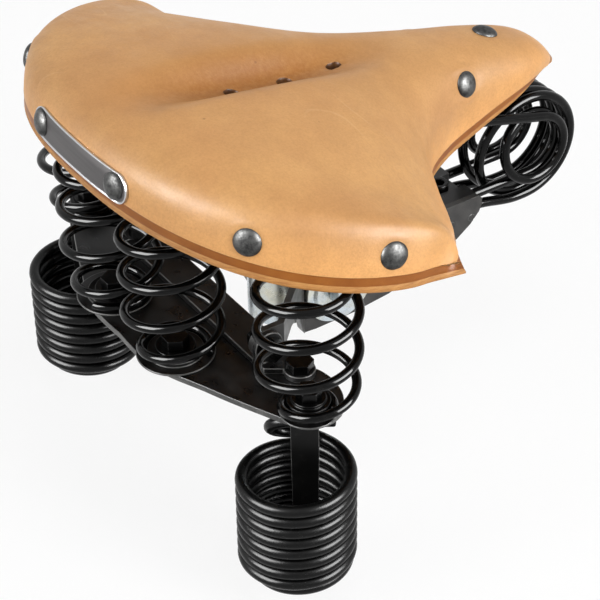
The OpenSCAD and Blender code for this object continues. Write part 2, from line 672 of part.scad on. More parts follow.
eye_low = cantle_low - spring_wire - 0.3;
module eye_washers() color(BLACK) at_eyes() translate([0, 0, eye_low - 1.6]) difference() {
  cylinder(d = 16, h = 1.6, $fn = 64);
  translate([0, 0, -1]) rod(bolt_d + 2 * bolt_fit, 10);
}

module eye_bolts() color(BLACK) at_eyes() {
  translate([0, 0, eye_low - 1.6 - 4.2]) hex(10, 4.2);
  translate([0, 0, eye_low - 3]) rod(bolt_d, cantle_top - eye_low + 9);
}

module eye_nuts() color(BLACK) at_eyes() translate([0, 0, cantle_top]) difference() {
  hex(10, 4.8);
  translate([0, 0, -1]) rod(bolt_d + 0.1, 10);
}

module nose_plate() color(DARK) hide_sheet(grid(hide_u, 14, 17), grid(hide_v, 6, 24), plate_in, rim_in);

// block under the nose plate that grips the rising legs
clamp_k = 62;
clamp_at = leg_at(loop_outer_r, outer_low, clamp_k + 0.6);
clamp_y = clamp_at[0];
clamp_z = clamp_at[1];
inner_at = leg_at(loop_inner_r, inner_low, clamp_k);
post_top = hide_point(0.71, 0.215, rim_in)[2] - 0.3;
module nose_clamp() color(BLACK) difference() {
  translate([0, clamp_y, clamp_z]) rotate([leave - 90, 0, 0]) union() {
    translate([-19.6, -8, -12.4]) cube([39.2, 16, 17]);
    rotate([90 - leave, 0, 0]) translate([-8, -5, 0]) cube([16, 12, post_top - clamp_z]);
  }
  both() {
    translate([leg_outer_x, clamp_y, clamp_z]) rotate([leave, 0, 0])
      translate([0, 0, -30]) rod(wire_d + 2 * face_gap, 60);
    translate([leg_inner_x, inner_at[0], inner_at[1]])
      rotate([leave, 0, 0]) translate([0, 0, -30]) rod(wire_d + 2 * face_gap, 60);
  }
}

module nose_screws() color(BLACK) both() translate([0, clamp_y, clamp_z]) rotate([leave - 90, 0, 0])
  translate([10.8, 0, -15.4]) rod(7, 2.9);

// rivets stand square on the hide
function tilt_of(n) = [0, acos(n[2]), atan2(n[1], n[0])];
module on_hide(u, v, lift = 0) {
  p = hide_point(u, v);
  n = hide_normal(u, v);
  translate(p + lift * n) rotate(tilt_of(n)) children();
}

module rivet(deep) rotate_extrude($fn = 48) polygon([
  [0, -deep], [shank_d / 2, -deep], [shank_d / 2, 0.05], [rivet_d / 2, 0.05], [rivet_d / 2 - 0.25, 0.8],
  [rivet_d / 2 - 1.2, 1.6], [rivet_d / 2 - 2.8, 2.2], [rivet_d / 2 - 4.6, 2.5], [0, 2.6]
]);

BADGE_UV = [0.062, 0.119];
REAR_UV = [0.06, 0.487];
CORNER_UV = [0.059, 0.847];
NOSE_UV = [0.714, 0.647];
TOP_UV = [0.794, 0];
module badge_rivets() color(STEEL) both() on_hide(BADGE_UV[0], BADGE_UV[1], badge_t + 0.2) rivet(12.4);
module rear_rivets() color(STEEL) both() on_hide(REAR_UV[0], REAR_UV[1]) rivet(10.3);
module corner_rivets() color(STEEL) both() on_hide(CORNER_UV[0], CORNER_UV[1]) rivet(6.6);
module nose_rivets() color(STEEL) {
  both() on_hide(NOSE_UV[0], NOSE_UV[1]) rivet(9.6);
  on_hide(TOP_UV[0], TOP_UV[1]) rivet(9.6);
}
module burr(d, at) translate([0, 0, -at]) cylinder(d = d, h = 1, $fn = 48);
module rivet_burrs() color(STEEL) {
  both() {
    on_hide(BADGE_UV[0], BADGE_UV[1]) burr(8, 10.9);
    on_hide(REAR_UV[0], REAR_UV[1]) burr(8, 10.6);
    on_hide(CORNER_UV[0], CORNER_UV[1]) burr(9, 6.6);
    on_hide(NOSE_UV[0], NOSE_UV[1]) burr(8, 9.9);
  }
  on_hide(TOP_UV[0], TOP_UV[1]) burr(8, 9.9);
}

module badge_plate() color(DARK)
  hide_sheet(spaced(0.041, 0.083, 4), spaced(-0.152, 0.152, 14), -badge_t - 0.1, -0.1);

post_band();
clamp_bolt();
clamp_nuts();
clamp_caps();
side_plate_left();
side_plate_right();
cross_bar();
ear_bolts();
ear_nuts();
guide_bolts();
guide_nuts();
hanger_arm_left();
hanger_arm_right();
rail_saddle();
rail_cap();
rail_bolt();
rail_nut();
bridge_pins();
wire_outer_left();
wire_outer_right();
wire_inner_left();
wire_inner_right();
tension_coil_left();
tension_coil_right();
crescent_plate();
spring_seats();
stem_bar_left();
stem_bar_right();
stem_washers();
stem_bolts();
seat_washers();
seat_bolts();
seat_nuts();
spring_inner_left();
spring_inner_right();
spring_outer_left();
spring_outer_right();
leather_top();
cantle_plate();
cantle_rim();
eye_washers();
eye_bolts();
eye_nuts();
nose_plate();
nose_clamp();
nose_screws();
badge_plate();
badge_rivets();
rear_rivets();
corner_rivets();
nose_rivets();
rivet_burrs();
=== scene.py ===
"""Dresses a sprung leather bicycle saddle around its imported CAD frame.

Lengths inside the classes are millimetres in the CAD frame (X to the rider's right, Y forward,
Z up), and meshes are written in metres. The studio is set out in metres. The hide, rivets, badge,
springs, coils and wires are numpy surfaces that stand for their CAD nodes. Plates and fasteners
are copies of their CAD nodes with eased edges.
"""

from __future__ import annotations

import json
import logging
import math
from abc import ABC, abstractmethod
from dataclasses import dataclass, field
from enum import Enum, IntEnum
from typing import Sequence

import bmesh
import bpy
import numpy as np
from mathutils import Matrix, Vector

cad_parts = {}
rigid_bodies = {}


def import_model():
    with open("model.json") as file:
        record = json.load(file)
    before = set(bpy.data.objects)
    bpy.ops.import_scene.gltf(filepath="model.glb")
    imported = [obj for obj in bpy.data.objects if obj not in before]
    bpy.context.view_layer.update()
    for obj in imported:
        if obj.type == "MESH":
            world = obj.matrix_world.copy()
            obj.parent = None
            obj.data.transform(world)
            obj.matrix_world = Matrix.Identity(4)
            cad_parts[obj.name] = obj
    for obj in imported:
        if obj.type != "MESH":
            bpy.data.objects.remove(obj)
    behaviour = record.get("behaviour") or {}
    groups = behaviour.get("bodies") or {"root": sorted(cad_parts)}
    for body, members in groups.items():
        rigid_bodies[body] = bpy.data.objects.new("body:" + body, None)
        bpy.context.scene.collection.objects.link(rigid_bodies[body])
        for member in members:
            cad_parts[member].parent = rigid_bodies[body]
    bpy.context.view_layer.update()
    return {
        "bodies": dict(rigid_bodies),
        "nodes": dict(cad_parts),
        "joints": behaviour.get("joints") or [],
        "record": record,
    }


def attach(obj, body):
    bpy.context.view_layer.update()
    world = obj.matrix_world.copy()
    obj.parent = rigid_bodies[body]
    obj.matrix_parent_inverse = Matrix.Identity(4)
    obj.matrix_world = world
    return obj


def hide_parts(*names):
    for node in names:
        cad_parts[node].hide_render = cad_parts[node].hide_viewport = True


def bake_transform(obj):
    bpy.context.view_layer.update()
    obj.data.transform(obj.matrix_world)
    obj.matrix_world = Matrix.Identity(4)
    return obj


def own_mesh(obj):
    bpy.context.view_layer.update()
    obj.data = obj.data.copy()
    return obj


Socket = bpy.types.NodeSocket
Colour = tuple[float, float, float, float]
Triple = tuple[float, float, float]
Pairs = tuple[tuple[float, float], ...]
Places = np.ndarray | float
Seats = Sequence[tuple[np.ndarray, np.ndarray]]

LOG = logging.getLogger("saddle")
MM = 0.001
SIDEWAYS, FORWARD, UP = (1.0, 0.0, 0.0), (0.0, 1.0, 0.0), (0.0, 0.0, 1.0)
# A round wire: points around it, then radius and push of each ring at its rounded end, and the
# push of the middle point beyond the last ring, all as shares of the wire's radius.
WIRE_SIDES = 16
WIRE_END = ((0.62, 0.35), (0.9, 0.245))
WIRE_TIP = 0.06
TURNED_SIDES = 56
# The part of a noise's range that most of its values fall in.
NOISE_RANGE = (0.3, 0.7)
# The hide's side rim from wing tip to nose (x, y, z) and its centre line from rear to nose (y, z).
SIDE_RIM = (
    (124, 9, 75), (100, 24, 72), (70, 39, 66), (44, 54, 58),
    (30, 74, 57), (25, 98, 62.5), (20.5, 122, 68), (9, 145.5, 69.5),
)  # fmt: skip
CENTRE_LINE = (
    (-100, 95), (-95, 117), (-72, 125), (-38, 124), (0, 119),
    (40, 110.6), (78, 104.3), (112, 97.4), (141, 87.5), (157, 71.5),
)  # fmt: skip
# The hide's edge: distance back from the rim and depth under the grain, from grain to flesh side.
EDGE_PROFILE = (
    (7.8, 0.0), (7.62, 0.03), (7.4, 0.2), (6.6, 0.24), (5.0, 0.26), (3.8, 0.32),
    (3.5, 0.42), (3.2, 0.36), (2.4, 0.34), (1.3, 0.42), (0.55, 0.7), (0.13, 1.2),
    (0.0, 1.9), (0.0, 3.6), (0.15, 4.3), (0.55, 4.8), (1.1, 5.0),
)  # fmt: skip
BURNISHED_BANDS = 5


class Body(Enum):
    """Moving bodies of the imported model."""

    CLAMP = "clamp"
    FRAME = "frame"
    CARRIER = "carrier"
    SEAT = "seat"


class Side(Enum):
    """Which half of the saddle a paired piece belongs to; the value is the sign of X."""

    RIGHT = 1
    LEFT = -1

    @property
    def word(self) -> str:
        """Name ending used by the CAD nodes."""
        return self.name.lower()


class HideSlot(IntEnum):
    """Material slots of the hide."""

    GRAIN = 0
    BURNISHED = 1
    CUT = 2
    FLESH = 3
    # Vent walls: burnished leather, darkened further as painted shade inside the holes.
    VENT_BURNISH_AND_SHADE = 4


def paint(code: str) -> Colour:
    """Turns a display colour into the linear colour a shader socket takes.

    Args:
        code: six hex digits, red green blue, as seen on a screen.

    Returns:
        Linear red, green, blue and an alpha of one.
    """
    screen = np.array([int(code[k : k + 2], 16) for k in (0, 2, 4)]) / 255.0
    linear = np.where(screen <= 0.04045, screen / 12.92, ((screen + 0.055) / 1.055) ** 2.4)
    return (float(linear[0]), float(linear[1]), float(linear[2]), 1.0)


def ease(x: np.ndarray) -> np.ndarray:
    """Smooth step: 3x² − 2x³ of x held between zero and one."""
    c = np.clip(x, 0.0, 1.0)
    return c * c * (3.0 - 2.0 * c)


def bell(x: np.ndarray, centre: float, width: float) -> np.ndarray:
    """Bell curve of height one: e to the power −((x − centre) / width)²."""
    return np.exp(-(((x - centre) / width) ** 2))


def hump(x: np.ndarray, start: float, length: float, power: float) -> np.ndarray:
    """Rise and fall over a stretch: sin(π (x − start) / length) to a power, and zero outside."""
    return np.sin(np.pi * np.clip((x - start) / length, 0, 1)) ** power


def unit(v: np.ndarray) -> np.ndarray:
    """Vectors along the last axis, scaled to length one."""
    return v / np.maximum(np.linalg.norm(v, axis=-1, keepdims=True), 1e-12)


def spokes(right: np.ndarray, ahead: np.ndarray, sides: int) -> np.ndarray:
    """Directions turned evenly from one vector through another: right cos(t) + ahead sin(t).

    Args:
        right: the first direction, or rows of it.
        ahead: a direction square to it, of the same shape.
        sides: number of directions.

    Returns:
        The directions, on a new axis before the last.
    """
    turn = np.linspace(0.0, 2 * np.pi, sides, endpoint=False)[:, None]
    return np.cos(turn) * right[..., None, :] + np.sin(turn) * ahead[..., None, :]


def spline(points: np.ndarray, t: np.ndarray) -> np.ndarray:
    """Uniform Catmull-Rom curve through points, its ends carried on in a straight line.

    Args:
        points: control points, one row each.
        t: places on the curve from zero to one, of any shape.

    Returns:
        Points of the curve, with the coordinates on the last axis.
    """
    p = np.vstack([2 * points[0] - points[1], points, 2 * points[-1] - points[-2]])
    last = len(points) - 1
    s = np.clip(t, 0.0, 1.0) * last
    i = np.minimum(np.floor(s).astype(int), last - 1)
    f = (s - i)[..., None]
    a, b, c, d = p[i], p[i + 1], p[i + 2], p[i + 3]
    cubic = (3 * b - a - 3 * c + d) * f**3
    return 0.5 * (2 * b + (c - a) * f + (2 * a - 5 * b + 4 * c - d) * f**2 + cubic)


def lengths(path: np.ndarray) -> np.ndarray:
    """Distance along a polyline from its first point to each of its points."""
    return np.concatenate([[0.0], np.cumsum(np.linalg.norm(np.diff(path, axis=0), axis=1))])


def rounded(path: np.ndarray, step: float, width: int) -> np.ndarray:
    """Spaces a polyline evenly and rounds its corners by a moving mean that keeps its ends.

    Args:
        path: points of the polyline.
        step: distance between the new points, about.
        width: number of neighbours on each side that the mean takes in.

    Returns:
        Points of the rounded line.
    """
    run = lengths(path)
    at = np.linspace(0.0, run[-1], int(run[-1] / step) + 2)
    even = np.stack([np.interp(at, run, path[:, k]) for k in range(3)], axis=1)
    pad = np.pad(even, ((width, width), (0, 0)), mode="reflect", reflect_type="odd")
    kernel = np.hanning(2 * width + 3)[1:-1]
    kernel = kernel / kernel.sum()
    return np.stack([np.convolve(pad[:, k], kernel, mode="valid") for k in range(3)], axis=1)


def outline(grid: np.ndarray) -> np.ndarray:
    """Points or numbers on a grid's outer border in order, starting at its first corner."""
    return np.concatenate([grid[0, :-1], grid[:-1, -1], grid[-1, :0:-1], grid[:0:-1, 0]])


def quads(rows: int, cols: int, closed: bool = False, start: int = 0) -> np.ndarray:
    """Faces of a grid of points that are numbered row by row.

    Args:
        rows: number of rows.
        cols: number of points in a row.
        closed: joins the last column to the first.
        start: number of the grid's first point.

    Returns:
        One row of four point numbers for each face.
    """
    near = np.arange(rows - 1)[:, None] * cols
    far = near + cols
    j = np.arange(cols if closed else cols - 1)[None, :]
    k = (j + 1) % cols
    return start + np.stack([near + j, near + k, far + k, far + j], axis=-1).reshape(-1, 4)


@dataclass
class Shell:
    """Points and faces of one piece, gathered from grids, rings and fans."""

    points: list[np.ndarray] = field(default_factory=list)
    faces: list[list[int]] = field(default_factory=list)
    slots: list[int] = field(default_factory=list)
    count: int = 0

    def add_points(self, points: np.ndarray) -> int:
        """Adds points of any shape.

        Args:
            points: the points, with the coordinates on the last axis.

        Returns:
            The number of the first one.
        """
        first = self.count
        flat = np.asarray(points, float).reshape(-1, 3)
        self.points.append(flat)
        self.count += len(flat)
        return first

    def add_faces(self, faces: np.ndarray, slot: int = 0) -> None:
        """Adds faces of one material slot."""
        self.faces.extend(faces.tolist())
        self.slots.extend([slot] * len(faces))

    def add_grid(self, grid: np.ndarray, closed: bool = False) -> int:
        """Adds a grid of points with its faces.

        Args:
            grid: points by rows and columns.
            closed: joins the last column to the first.

        Returns:
            The number of the grid's first point.
        """
        first = self.add_points(grid)
        self.add_faces(quads(grid.shape[0], grid.shape[1], closed, first))
        return first

    def add_fan(self, ring: np.ndarray, tip: np.ndarray, flip: bool = False) -> None:
        """Closes a ring with triangles to one new point.

        Args:
            ring: point numbers of the ring, in order.
            tip: the new point.
            flip: turns the triangles over.
        """
        top = self.add_points(tip)
        pair = np.stack([ring, np.roll(ring, -1)], axis=1)
        pair = pair[:, ::-1] if flip else pair
        self.add_faces(np.column_stack([pair, np.full(len(ring), top)]))

    def add_barrel(self, grid: np.ndarray, start: np.ndarray, end: np.ndarray) -> None:
        """Adds closed rings and closes the first and the last of them to a point.

        Args:
            grid: points by rings and places around.
            start: the point that closes the first ring.
            end: the point that closes the last ring.
        """
        first = self.add_grid(grid, closed=True)
        ring = np.arange(grid.shape[1])
        self.add_fan(first + ring, start, flip=True)
        self.add_fan(first + (len(grid) - 1) * len(ring) + ring, end)

    def bridge(
        self,
        start: np.ndarray,
        rings: Sequence[np.ndarray],
        end: np.ndarray,
        slots: Sequence[int],
    ) -> None:
        """Joins two closed loops through rings of new points.

        Args:
            start: point numbers of the first loop.
            rings: points of each ring between the loops.
            end: point numbers of the last loop.
            slots: material slot of each band of faces.
        """
        middle = [self.add_points(ring) + np.arange(len(ring)) for ring in rings]
        loops = [start, *middle, end]
        for a, b, slot in zip(loops, loops[1:], slots):
            self.add_faces(np.stack([a, np.roll(a, -1), np.roll(b, -1), b], axis=1), slot)

    def piece(
        self,
        name: str,
        finishes: Sequence[Finish],
        fields: dict[str, np.ndarray] | None = None,
    ) -> bpy.types.Object:
        """Makes the mesh object, smooth shaded, with its faces pointing outwards.

        Args:
            name: name of the piece.
            finishes: one finish for each material slot.
            fields: numbers for each point that the finishes read by name.

        Returns:
            The new object, at the origin.
        """
        mesh = bpy.data.meshes.new(name)
        mesh.from_pydata((np.vstack(self.points) * MM).tolist(), [], self.faces)
        mesh.polygons.foreach_set("material_index", np.array(self.slots, np.int32))
        for key, values in (fields or {}).items():
            layer = mesh.attributes.new(key, "FLOAT", "POINT")
            layer.data.foreach_set("value", np.asarray(values, np.float32))
        work = bmesh.new()
        work.from_mesh(mesh)
        loose = [v for v in work.verts if not v.link_faces]
        bmesh.ops.delete(work, geom=loose, context="VERTS")
        bmesh.ops.recalc_face_normals(work, faces=work.faces)
        work.to_mesh(mesh)
        work.free()
        mesh.polygons.foreach_set("use_smooth", np.ones(len(mesh.polygons), bool))
        for finish in finishes:
            mesh.materials.append(finish.material())
        mesh.update()
        thing = bpy.data.objects.new(name, mesh)
        bpy.context.scene.collection.objects.link(thing)
        return thing


def tube(path: np.ndarray, radius: float, across: Sequence[float]) -> Shell:
    """Carries a circle along a path and rounds its two ends.

    The circle stands square to the path; its first spoke is the part of a fixed direction that is
    square to the path, so the tube never twists.

    Args:
        path: points of the centre line.
        radius: radius of the wire.
        across: a direction that the path never runs along.

    Returns:
        A closed shell.
    """
    count = len(path)
    size, push = np.array(WIRE_END).T
    grow = np.concatenate([size, np.ones(count), size[::-1]])
    lift = radius * np.concatenate([-push, np.zeros(count), push[::-1]])
    pick = np.concatenate([[0, 0], np.arange(count), [count - 1] * 2])
    along = unit(np.gradient(path, axis=0))[pick]
    spoke = unit(np.array(across) - along * (along @ np.array(across))[:, None])
    middle = path[pick] + lift[:, None] * along
    ring = spokes(spoke, np.cross(along, spoke), WIRE_SIDES)
    tip = WIRE_TIP * radius * along
    shell = Shell()
    grid = middle[:, None] + radius * grow[:, None, None] * ring
    shell.add_barrel(grid, middle[0] - tip[0], middle[-1] + tip[-1])
    return shell


def turned(shell: Shell, profile: np.ndarray, place: np.ndarray, axis: np.ndarray) -> None:
    """Turns a profile of radius and height about an axis and adds the closed solid to a shell.

    Args:
        shell: the shell that takes the solid.
        profile: rows of radius and height, from the upper pole round to the lower pole.
        place: point of the axis at height zero.
        axis: direction of the axis, of length one.
    """
    helper = np.array(UP if abs(axis[2]) < 0.9 else SIDEWAYS)
    right = unit(np.cross(helper, axis))
    spin = spokes(right, np.cross(axis, right), TURNED_SIDES)
    body = profile[1:-1]
    grid = place + body[:, 0, None, None] * spin[None] + body[:, 1, None, None] * axis
    shell.add_barrel(grid, place + profile[0, 1] * axis, place + profile[-1, 1] * axis)


def stand_in(piece: bpy.types.Object, node: str) -> bpy.types.Object:
    """Puts a piece in a CAD node's place and reports it.

    Args:
        piece: the finished piece.
        node: the CAD node that it stands for.

    Returns:
        The same piece.
    """
    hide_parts(node)
    LOG.info("%s stands for %s", piece.name, node)
    return piece


def wound(
    node: str, path: np.ndarray, wire: float, across: Sequence[float], finish: Finish
) -> bpy.types.Object:
    """Sweeps a round wire along its path and puts it in its CAD node's place.

    Args:
        node: the CAD node that the wire stands for.
        path: points of the centre line.
        wire: diameter of the wire.
        across: a direction that the path never runs along.
        finish: finish of the wire.

    Returns:
        The finished piece.
    """
    piece = tube(path, wire / 2, across).piece(f"{node}_wound", [finish])
    return stand_in(piece, node)


def seen_rays(tree: bpy.types.NodeTree) -> Socket:
    """Adds nodes that give one where a surface is seen, straight, mirrored or through glass.

    Args:
        tree: nodes of a material or of the world.

    Returns:
        One for rays from the camera, a gloss or a pane, and zero for light on matt surfaces.
    """
    rays = tree.nodes.new("ShaderNodeLightPath").outputs
    seen = rays["Is Camera Ray"]
    for name in ("Is Glossy Ray", "Is Transmission Ray"):
        either = tree.nodes.new("ShaderNodeMath")
        either.operation = "MAXIMUM"
        tree.links.new(seen, either.inputs[0])
        tree.links.new(rays[name], either.inputs[1])
        seen = either.outputs["Value"]
    return seen


class Tree:
    """Node tree of one material, with short calls for the nodes that the finishes share."""

    def __init__(self, name: str) -> None:
        """Starts a material that has one principled shader.

        Args:
            name: name of the material.
        """
        self.material = bpy.data.materials.new(name)
        self.material.use_nodes = True
        self.nodes = self.material.node_tree.nodes
        self.links = self.material.node_tree.links
        self.shader = self.nodes["Principled BSDF"]
        self.place = self.nodes.new("ShaderNodeTexCoord").outputs["Object"]

    def put(self, node: bpy.types.Node, key: str | int, value: object) -> None:
        """Links a socket to an input, or sets the input to a constant.

        Args:
            node: the node that has the input.
            key: name or number of the input.
            value: a socket, a number, or a display colour in hex digits.
        """
        if isinstance(value, bpy.types.NodeSocket):
            self.links.new(value, node.inputs[key])
        else:
            node.inputs[key].default_value = paint(value) if isinstance(value, str) else value

    def shade(self, **values: object) -> None:
        """Sets inputs of the principled shader; underscores in names stand for spaces."""
        for key, value in values.items():
            self.put(self.shader, key.replace("_", " "), value)

    def make(
        self, kind: str, inputs: dict[str | int, object], **options: str
    ) -> bpy.types.NodeOutputs:
        """Adds a node.

        Args:
            kind: type of the node.
            inputs: what goes into each input, by name or number.
            options: settings of the node itself.

        Returns:
            The node's outputs.
        """
        node = self.nodes.new(kind)
        for name, option in options.items():
            setattr(node, name, option)
        for key, value in inputs.items():
            self.put(node, key, value)
        return node.outputs

    def mapped(self, scale: Sequence[float], turn: Sequence[float] = (0, 0, 0)) -> Socket:
        """Object coordinates, turned and then stretched."""
        inputs = {"Vector": self.place, "Scale": scale, "Rotation": turn}
        return self.make("ShaderNodeMapping", inputs)["Vector"]

    def noise(
        self, scale: float, detail: float = 2.0, rough: float = 0.5, at: Socket | None = None
    ) -> Socket:
        """Soft noise between zero and one; scale counts features a metre."""
        inputs = {"Vector": at or self.place, "Scale": scale, "Detail": detail, "Roughness": rough}
        return self.make("ShaderNodeTexNoise", inputs)["Fac"]

    def cells(self, scale: float, output: str = "Distance") -> Socket:
        """Distance to the nearest of scattered points, or that point's own colour."""
        return self.make("ShaderNodeTexVoronoi", {"Vector": self.place, "Scale": scale})[output]

    def field(self, name: str) -> Socket:
        """Number that the mesh carries for each point."""
        return self.make("ShaderNodeAttribute", {}, attribute_name=name)["Fac"]

    def span(
        self, value: Socket, low: float, high: float, to_low: float = 0.0, to_high: float = 1.0
    ) -> Socket:
        """Maps one range onto another and holds it at the ends."""
        inputs = dict(enumerate((value, low, high, to_low, to_high)))
        return self.make("ShaderNodeMapRange", inputs)["Result"]

    def spread(self, noise: Socket, to_low: float, to_high: float) -> Socket:
        """Maps the usual range of a noise onto another range."""
        return self.span(noise, *NOISE_RANGE, to_low, to_high)

    def sum(self, kind: str, a: object, b: object) -> Socket:
        """One arithmetic step, such as ADD or SUBTRACT."""
        return self.make("ShaderNodeMath", {0: a, 1: b}, operation=kind)["Value"]

    def times(self, a: object, b: object) -> Socket:
        """Product of two numbers."""
        return self.sum("MULTIPLY", a, b)

    def mix(self, share: object, a: object, b: object) -> Socket:
        """Mixes two colours by a share from zero to one."""
        return self.make("ShaderNodeMix", {0: share, 6: a, 7: b}, data_type="RGBA")[2]

    def bump(
        self, height: Socket, strength: float, depth: float, under: Socket | None = None
    ) -> Socket:
        """Normal of a surface raised by a height.

        Args:
            height: height from zero to one.
            strength: share of the effect.
            depth: millimetres that a height of one stands for.
            under: normal of a coarser or finer bump that this one adds to.

        Returns:
            The bent normal.
        """
        inputs = {"Strength": strength, "Distance": depth * MM, "Height": height}
        if under is not None:
            inputs["Normal"] = under
        return self.make("ShaderNodeBump", inputs)["Normal"]


class Finish(ABC):
    """A finish that makes its material once and hands it to every piece that wears it."""

    made: dict[str, bpy.types.Material] = {}

    @abstractmethod
    def dress(self, tree: Tree) -> None:
        """Adds this finish's nodes to a new tree."""

    def material(self) -> bpy.types.Material:
        """Makes the finish's material on first use.

        Returns:
            The material.
        """
        name = repr(self)
        if name not in Finish.made:
            tree = Tree(type(self).__name__)
            self.dress(tree)
            Finish.made[name] = tree.material
        return Finish.made[name]


@dataclass(frozen=True)
class GrainLeather(Finish):
    """Outer side of the hide: honey tan, browner on the crown, warmer and lighter at the rim
    (partly its own tone, partly painted light on the roll), and darker in the groove (painted
    shade).
    """

    crown: str = "CD9C64"
    dusk: str = "C2905C"
    # Warmer, lighter colour of the rim roll: partly the leather's own tone, partly painted light
    # where the roll faces the lamps.
    roll: str = "DFA566"
    # Painted shade: darker brown in and beside the groove along the middle.
    groove_shade: str = "96602A"
    stain: str = "8C5F35"
    pale: str = "E3C092"
    speck: str = "6B4424"
    cloud_share: float = 0.24
    grain_share: float = 0.24
    crease_darkening_share: float = 0.08
    scratch_share: float = 0.14
    speck_share: float = 0.5
    specular: float = 0.17

    def dress(self, tree: Tree) -> None:
        """Mixes colour by the hide's own fields, with partly painted light on the rim roll and
        painted shade in the groove, then adds specks, scratches, pores and sheen.

        Args:
            tree: nodes of the new material.
        """
        patch = tree.span(tree.noise(17, 3, 0.55), 0.38, 0.64)
        colour = tree.mix(patch, self.crown, self.dusk)
        # Rim roll lighter than the crown: partly the leather's own tone, partly painted light.
        rim_warmth_and_light = tree.sum("ADD", tree.field("rim"), tree.times(tree.noise(45, 3), 0.3))
        colour = tree.mix(tree.span(rim_warmth_and_light, 0.35, 1.0), colour, self.roll)
        mottle = tree.span(tree.noise(420, 4, 0.7), 0.34, 0.62, 0.74, 1.0)
        # Painted shade in the groove, broken up by a fine mottle.
        colour = tree.mix(tree.times(tree.field("groove"), mottle), colour, self.groove_shade)
        cloud = tree.span(tree.noise(60, 5, 0.65), 0.35, 0.7)
        colour = tree.mix(tree.times(cloud, self.cloud_share), colour, self.stain)
        grain = tree.span(tree.noise(900, 4, 0.7), 0.42, 0.72, 0.0, self.grain_share)
        colour = tree.mix(grain, colour, self.stain)
        # Darker along the shoulder crease, in broken patches.
        crease_darkening = tree.times(tree.field("crease"), tree.span(tree.noise(240, 5, 0.7), 0.42, 0.7))
        colour = tree.mix(tree.times(crease_darkening, self.crease_darkening_share), colour, self.stain)
        colour = tree.mix(self.scratches(tree), colour, self.pale)
        colour = tree.mix(self.specks(tree), colour, self.speck)
        tree.shade(Base_Color=colour, Specular_IOR_Level=self.specular)
        tree.shade(Roughness=tree.spread(tree.noise(130, 4, 0.6), 0.38, 0.52))
        pores = tree.bump(tree.cells(1150), 0.3, 0.14)
        creases = tree.bump(tree.noise(420, 5, 0.62), 0.2, 0.18, pores)
        tree.shade(Normal=tree.bump(tree.noise(48, 3, 0.5), 0.12, 1.2, creases))

    def scratches(self, tree: Tree) -> Socket:
        """Few long hairlines: the thin zero band of a stretched noise, in scattered patches.

        Args:
            tree: nodes of the new material.

        Returns:
            Share of the scratched colour.
        """
        line = tree.noise(26, 1, 0.4, tree.mapped((0.22, 1.0, 0.4), (0.2, 0.3, 0.9)))
        away = tree.sum("ABSOLUTE", tree.sum("SUBTRACT", line, 0.5), 0.0)
        band = tree.span(away, 0.0012, 0.0032, 1.0, 0.0)
        return tree.times(band, tree.span(tree.noise(22, 2), 0.56, 0.66, 0.0, self.scratch_share))

    def specks(self, tree: Tree) -> Socket:
        """Sparse dark dots: near the points of a coarse scatter whose own colour is high.

        Args:
            tree: nodes of the new material.

        Returns:
            Share of the dots' colour.
        """
        dot = tree.span(tree.cells(95), 0.045, 0.075, 1.0, 0.0)
        chosen = tree.span(tree.cells(95, "Color"), 0.78, 0.8, 0.0, self.speck_share)
        return tree.times(dot, chosen)


@dataclass(frozen=True)
class BurnishedEdge(Finish):
    """Dark rubbed chamfer along the rim of the hide."""

    dark: str = "864A10"
    warm: str = "985A1C"

    def dress(self, tree: Tree) -> None:
        """Dark brown that lightens in rubbed patches, fairly glossy.

        Args:
            tree: nodes of the new material.
        """
        rubbed = tree.span(tree.noise(60, 5, 0.6), 0.35, 0.66)
        tree.shade(Base_Color=tree.mix(rubbed, self.dark, self.warm))
        tree.shade(Roughness=0.42, Specular_IOR_Level=0.18)
        tree.shade(Normal=tree.bump(tree.noise(700, 3), 0.18, 0.15))


@dataclass(frozen=True)
class RawEdge(Finish):
    """Cut edge of the hide, with layered fibres."""

    light: str = "C08A4C"
    dark: str = "A26C36"

    def dress(self, tree: Tree) -> None:
        """Fibres that lie along the edge: a noise squeezed in height.

        Args:
            tree: nodes of the new material.
        """
        fibre = tree.noise(420, 5, 0.7, tree.mapped((0.35, 0.35, 2.6)))
        tree.shade(Base_Color=tree.mix(tree.span(fibre, 0.35, 0.66), self.dark, self.light))
        tree.shade(Roughness=0.62, Specular_IOR_Level=0.18, Normal=tree.bump(fibre, 0.35, 0.3))


@dataclass(frozen=True)
class FleshSide(Finish):
    """Napped inner side of the hide."""

    light: str = "C79A68"
    dark: str = "9A6D42"
    matted: str = "6F4A2B"

    def dress(self, tree: Tree) -> None:
        """Matt suede with short matted fibres.

        Args:
            tree: nodes of the new material.
        """
        nap = tree.noise(520, 6, 0.72)
        colour = tree.mix(tree.span(tree.noise(38, 3), 0.35, 0.68), self.light, self.dark)
        tree.shade(Base_Color=tree.mix(tree.span(nap, 0.4, 0.72, 0.0, 0.5), colour, self.matted))
        tree.shade(Roughness=0.92, Specular_IOR_Level=0.2, Normal=tree.bump(nap, 0.55, 0.4))


@dataclass(frozen=True)
class Gunmetal(Finish):
    """Darkened steel of the rivets and their burrs, with a mottled oxide."""

    light: str = "4E4E4D"
    dark: str = "242424"

    def dress(self, tree: Tree) -> None:
        """Metal whose colour and gloss follow the same mottling.

        Args:
            tree: nodes of the new material.
        """
        mottle = tree.noise(330, 5, 0.68)
        tree.shade(Base_Color=tree.mix(tree.span(mottle, 0.36, 0.66), self.dark, self.light))
        tree.shade(Metallic=1.0, Roughness=tree.spread(mottle, 0.54, 0.36))
        dents = tree.bump(tree.noise(260, 2), 0.1, 0.2)
        tree.shade(Normal=tree.bump(tree.noise(1400, 3), 0.08, 0.1, dents))


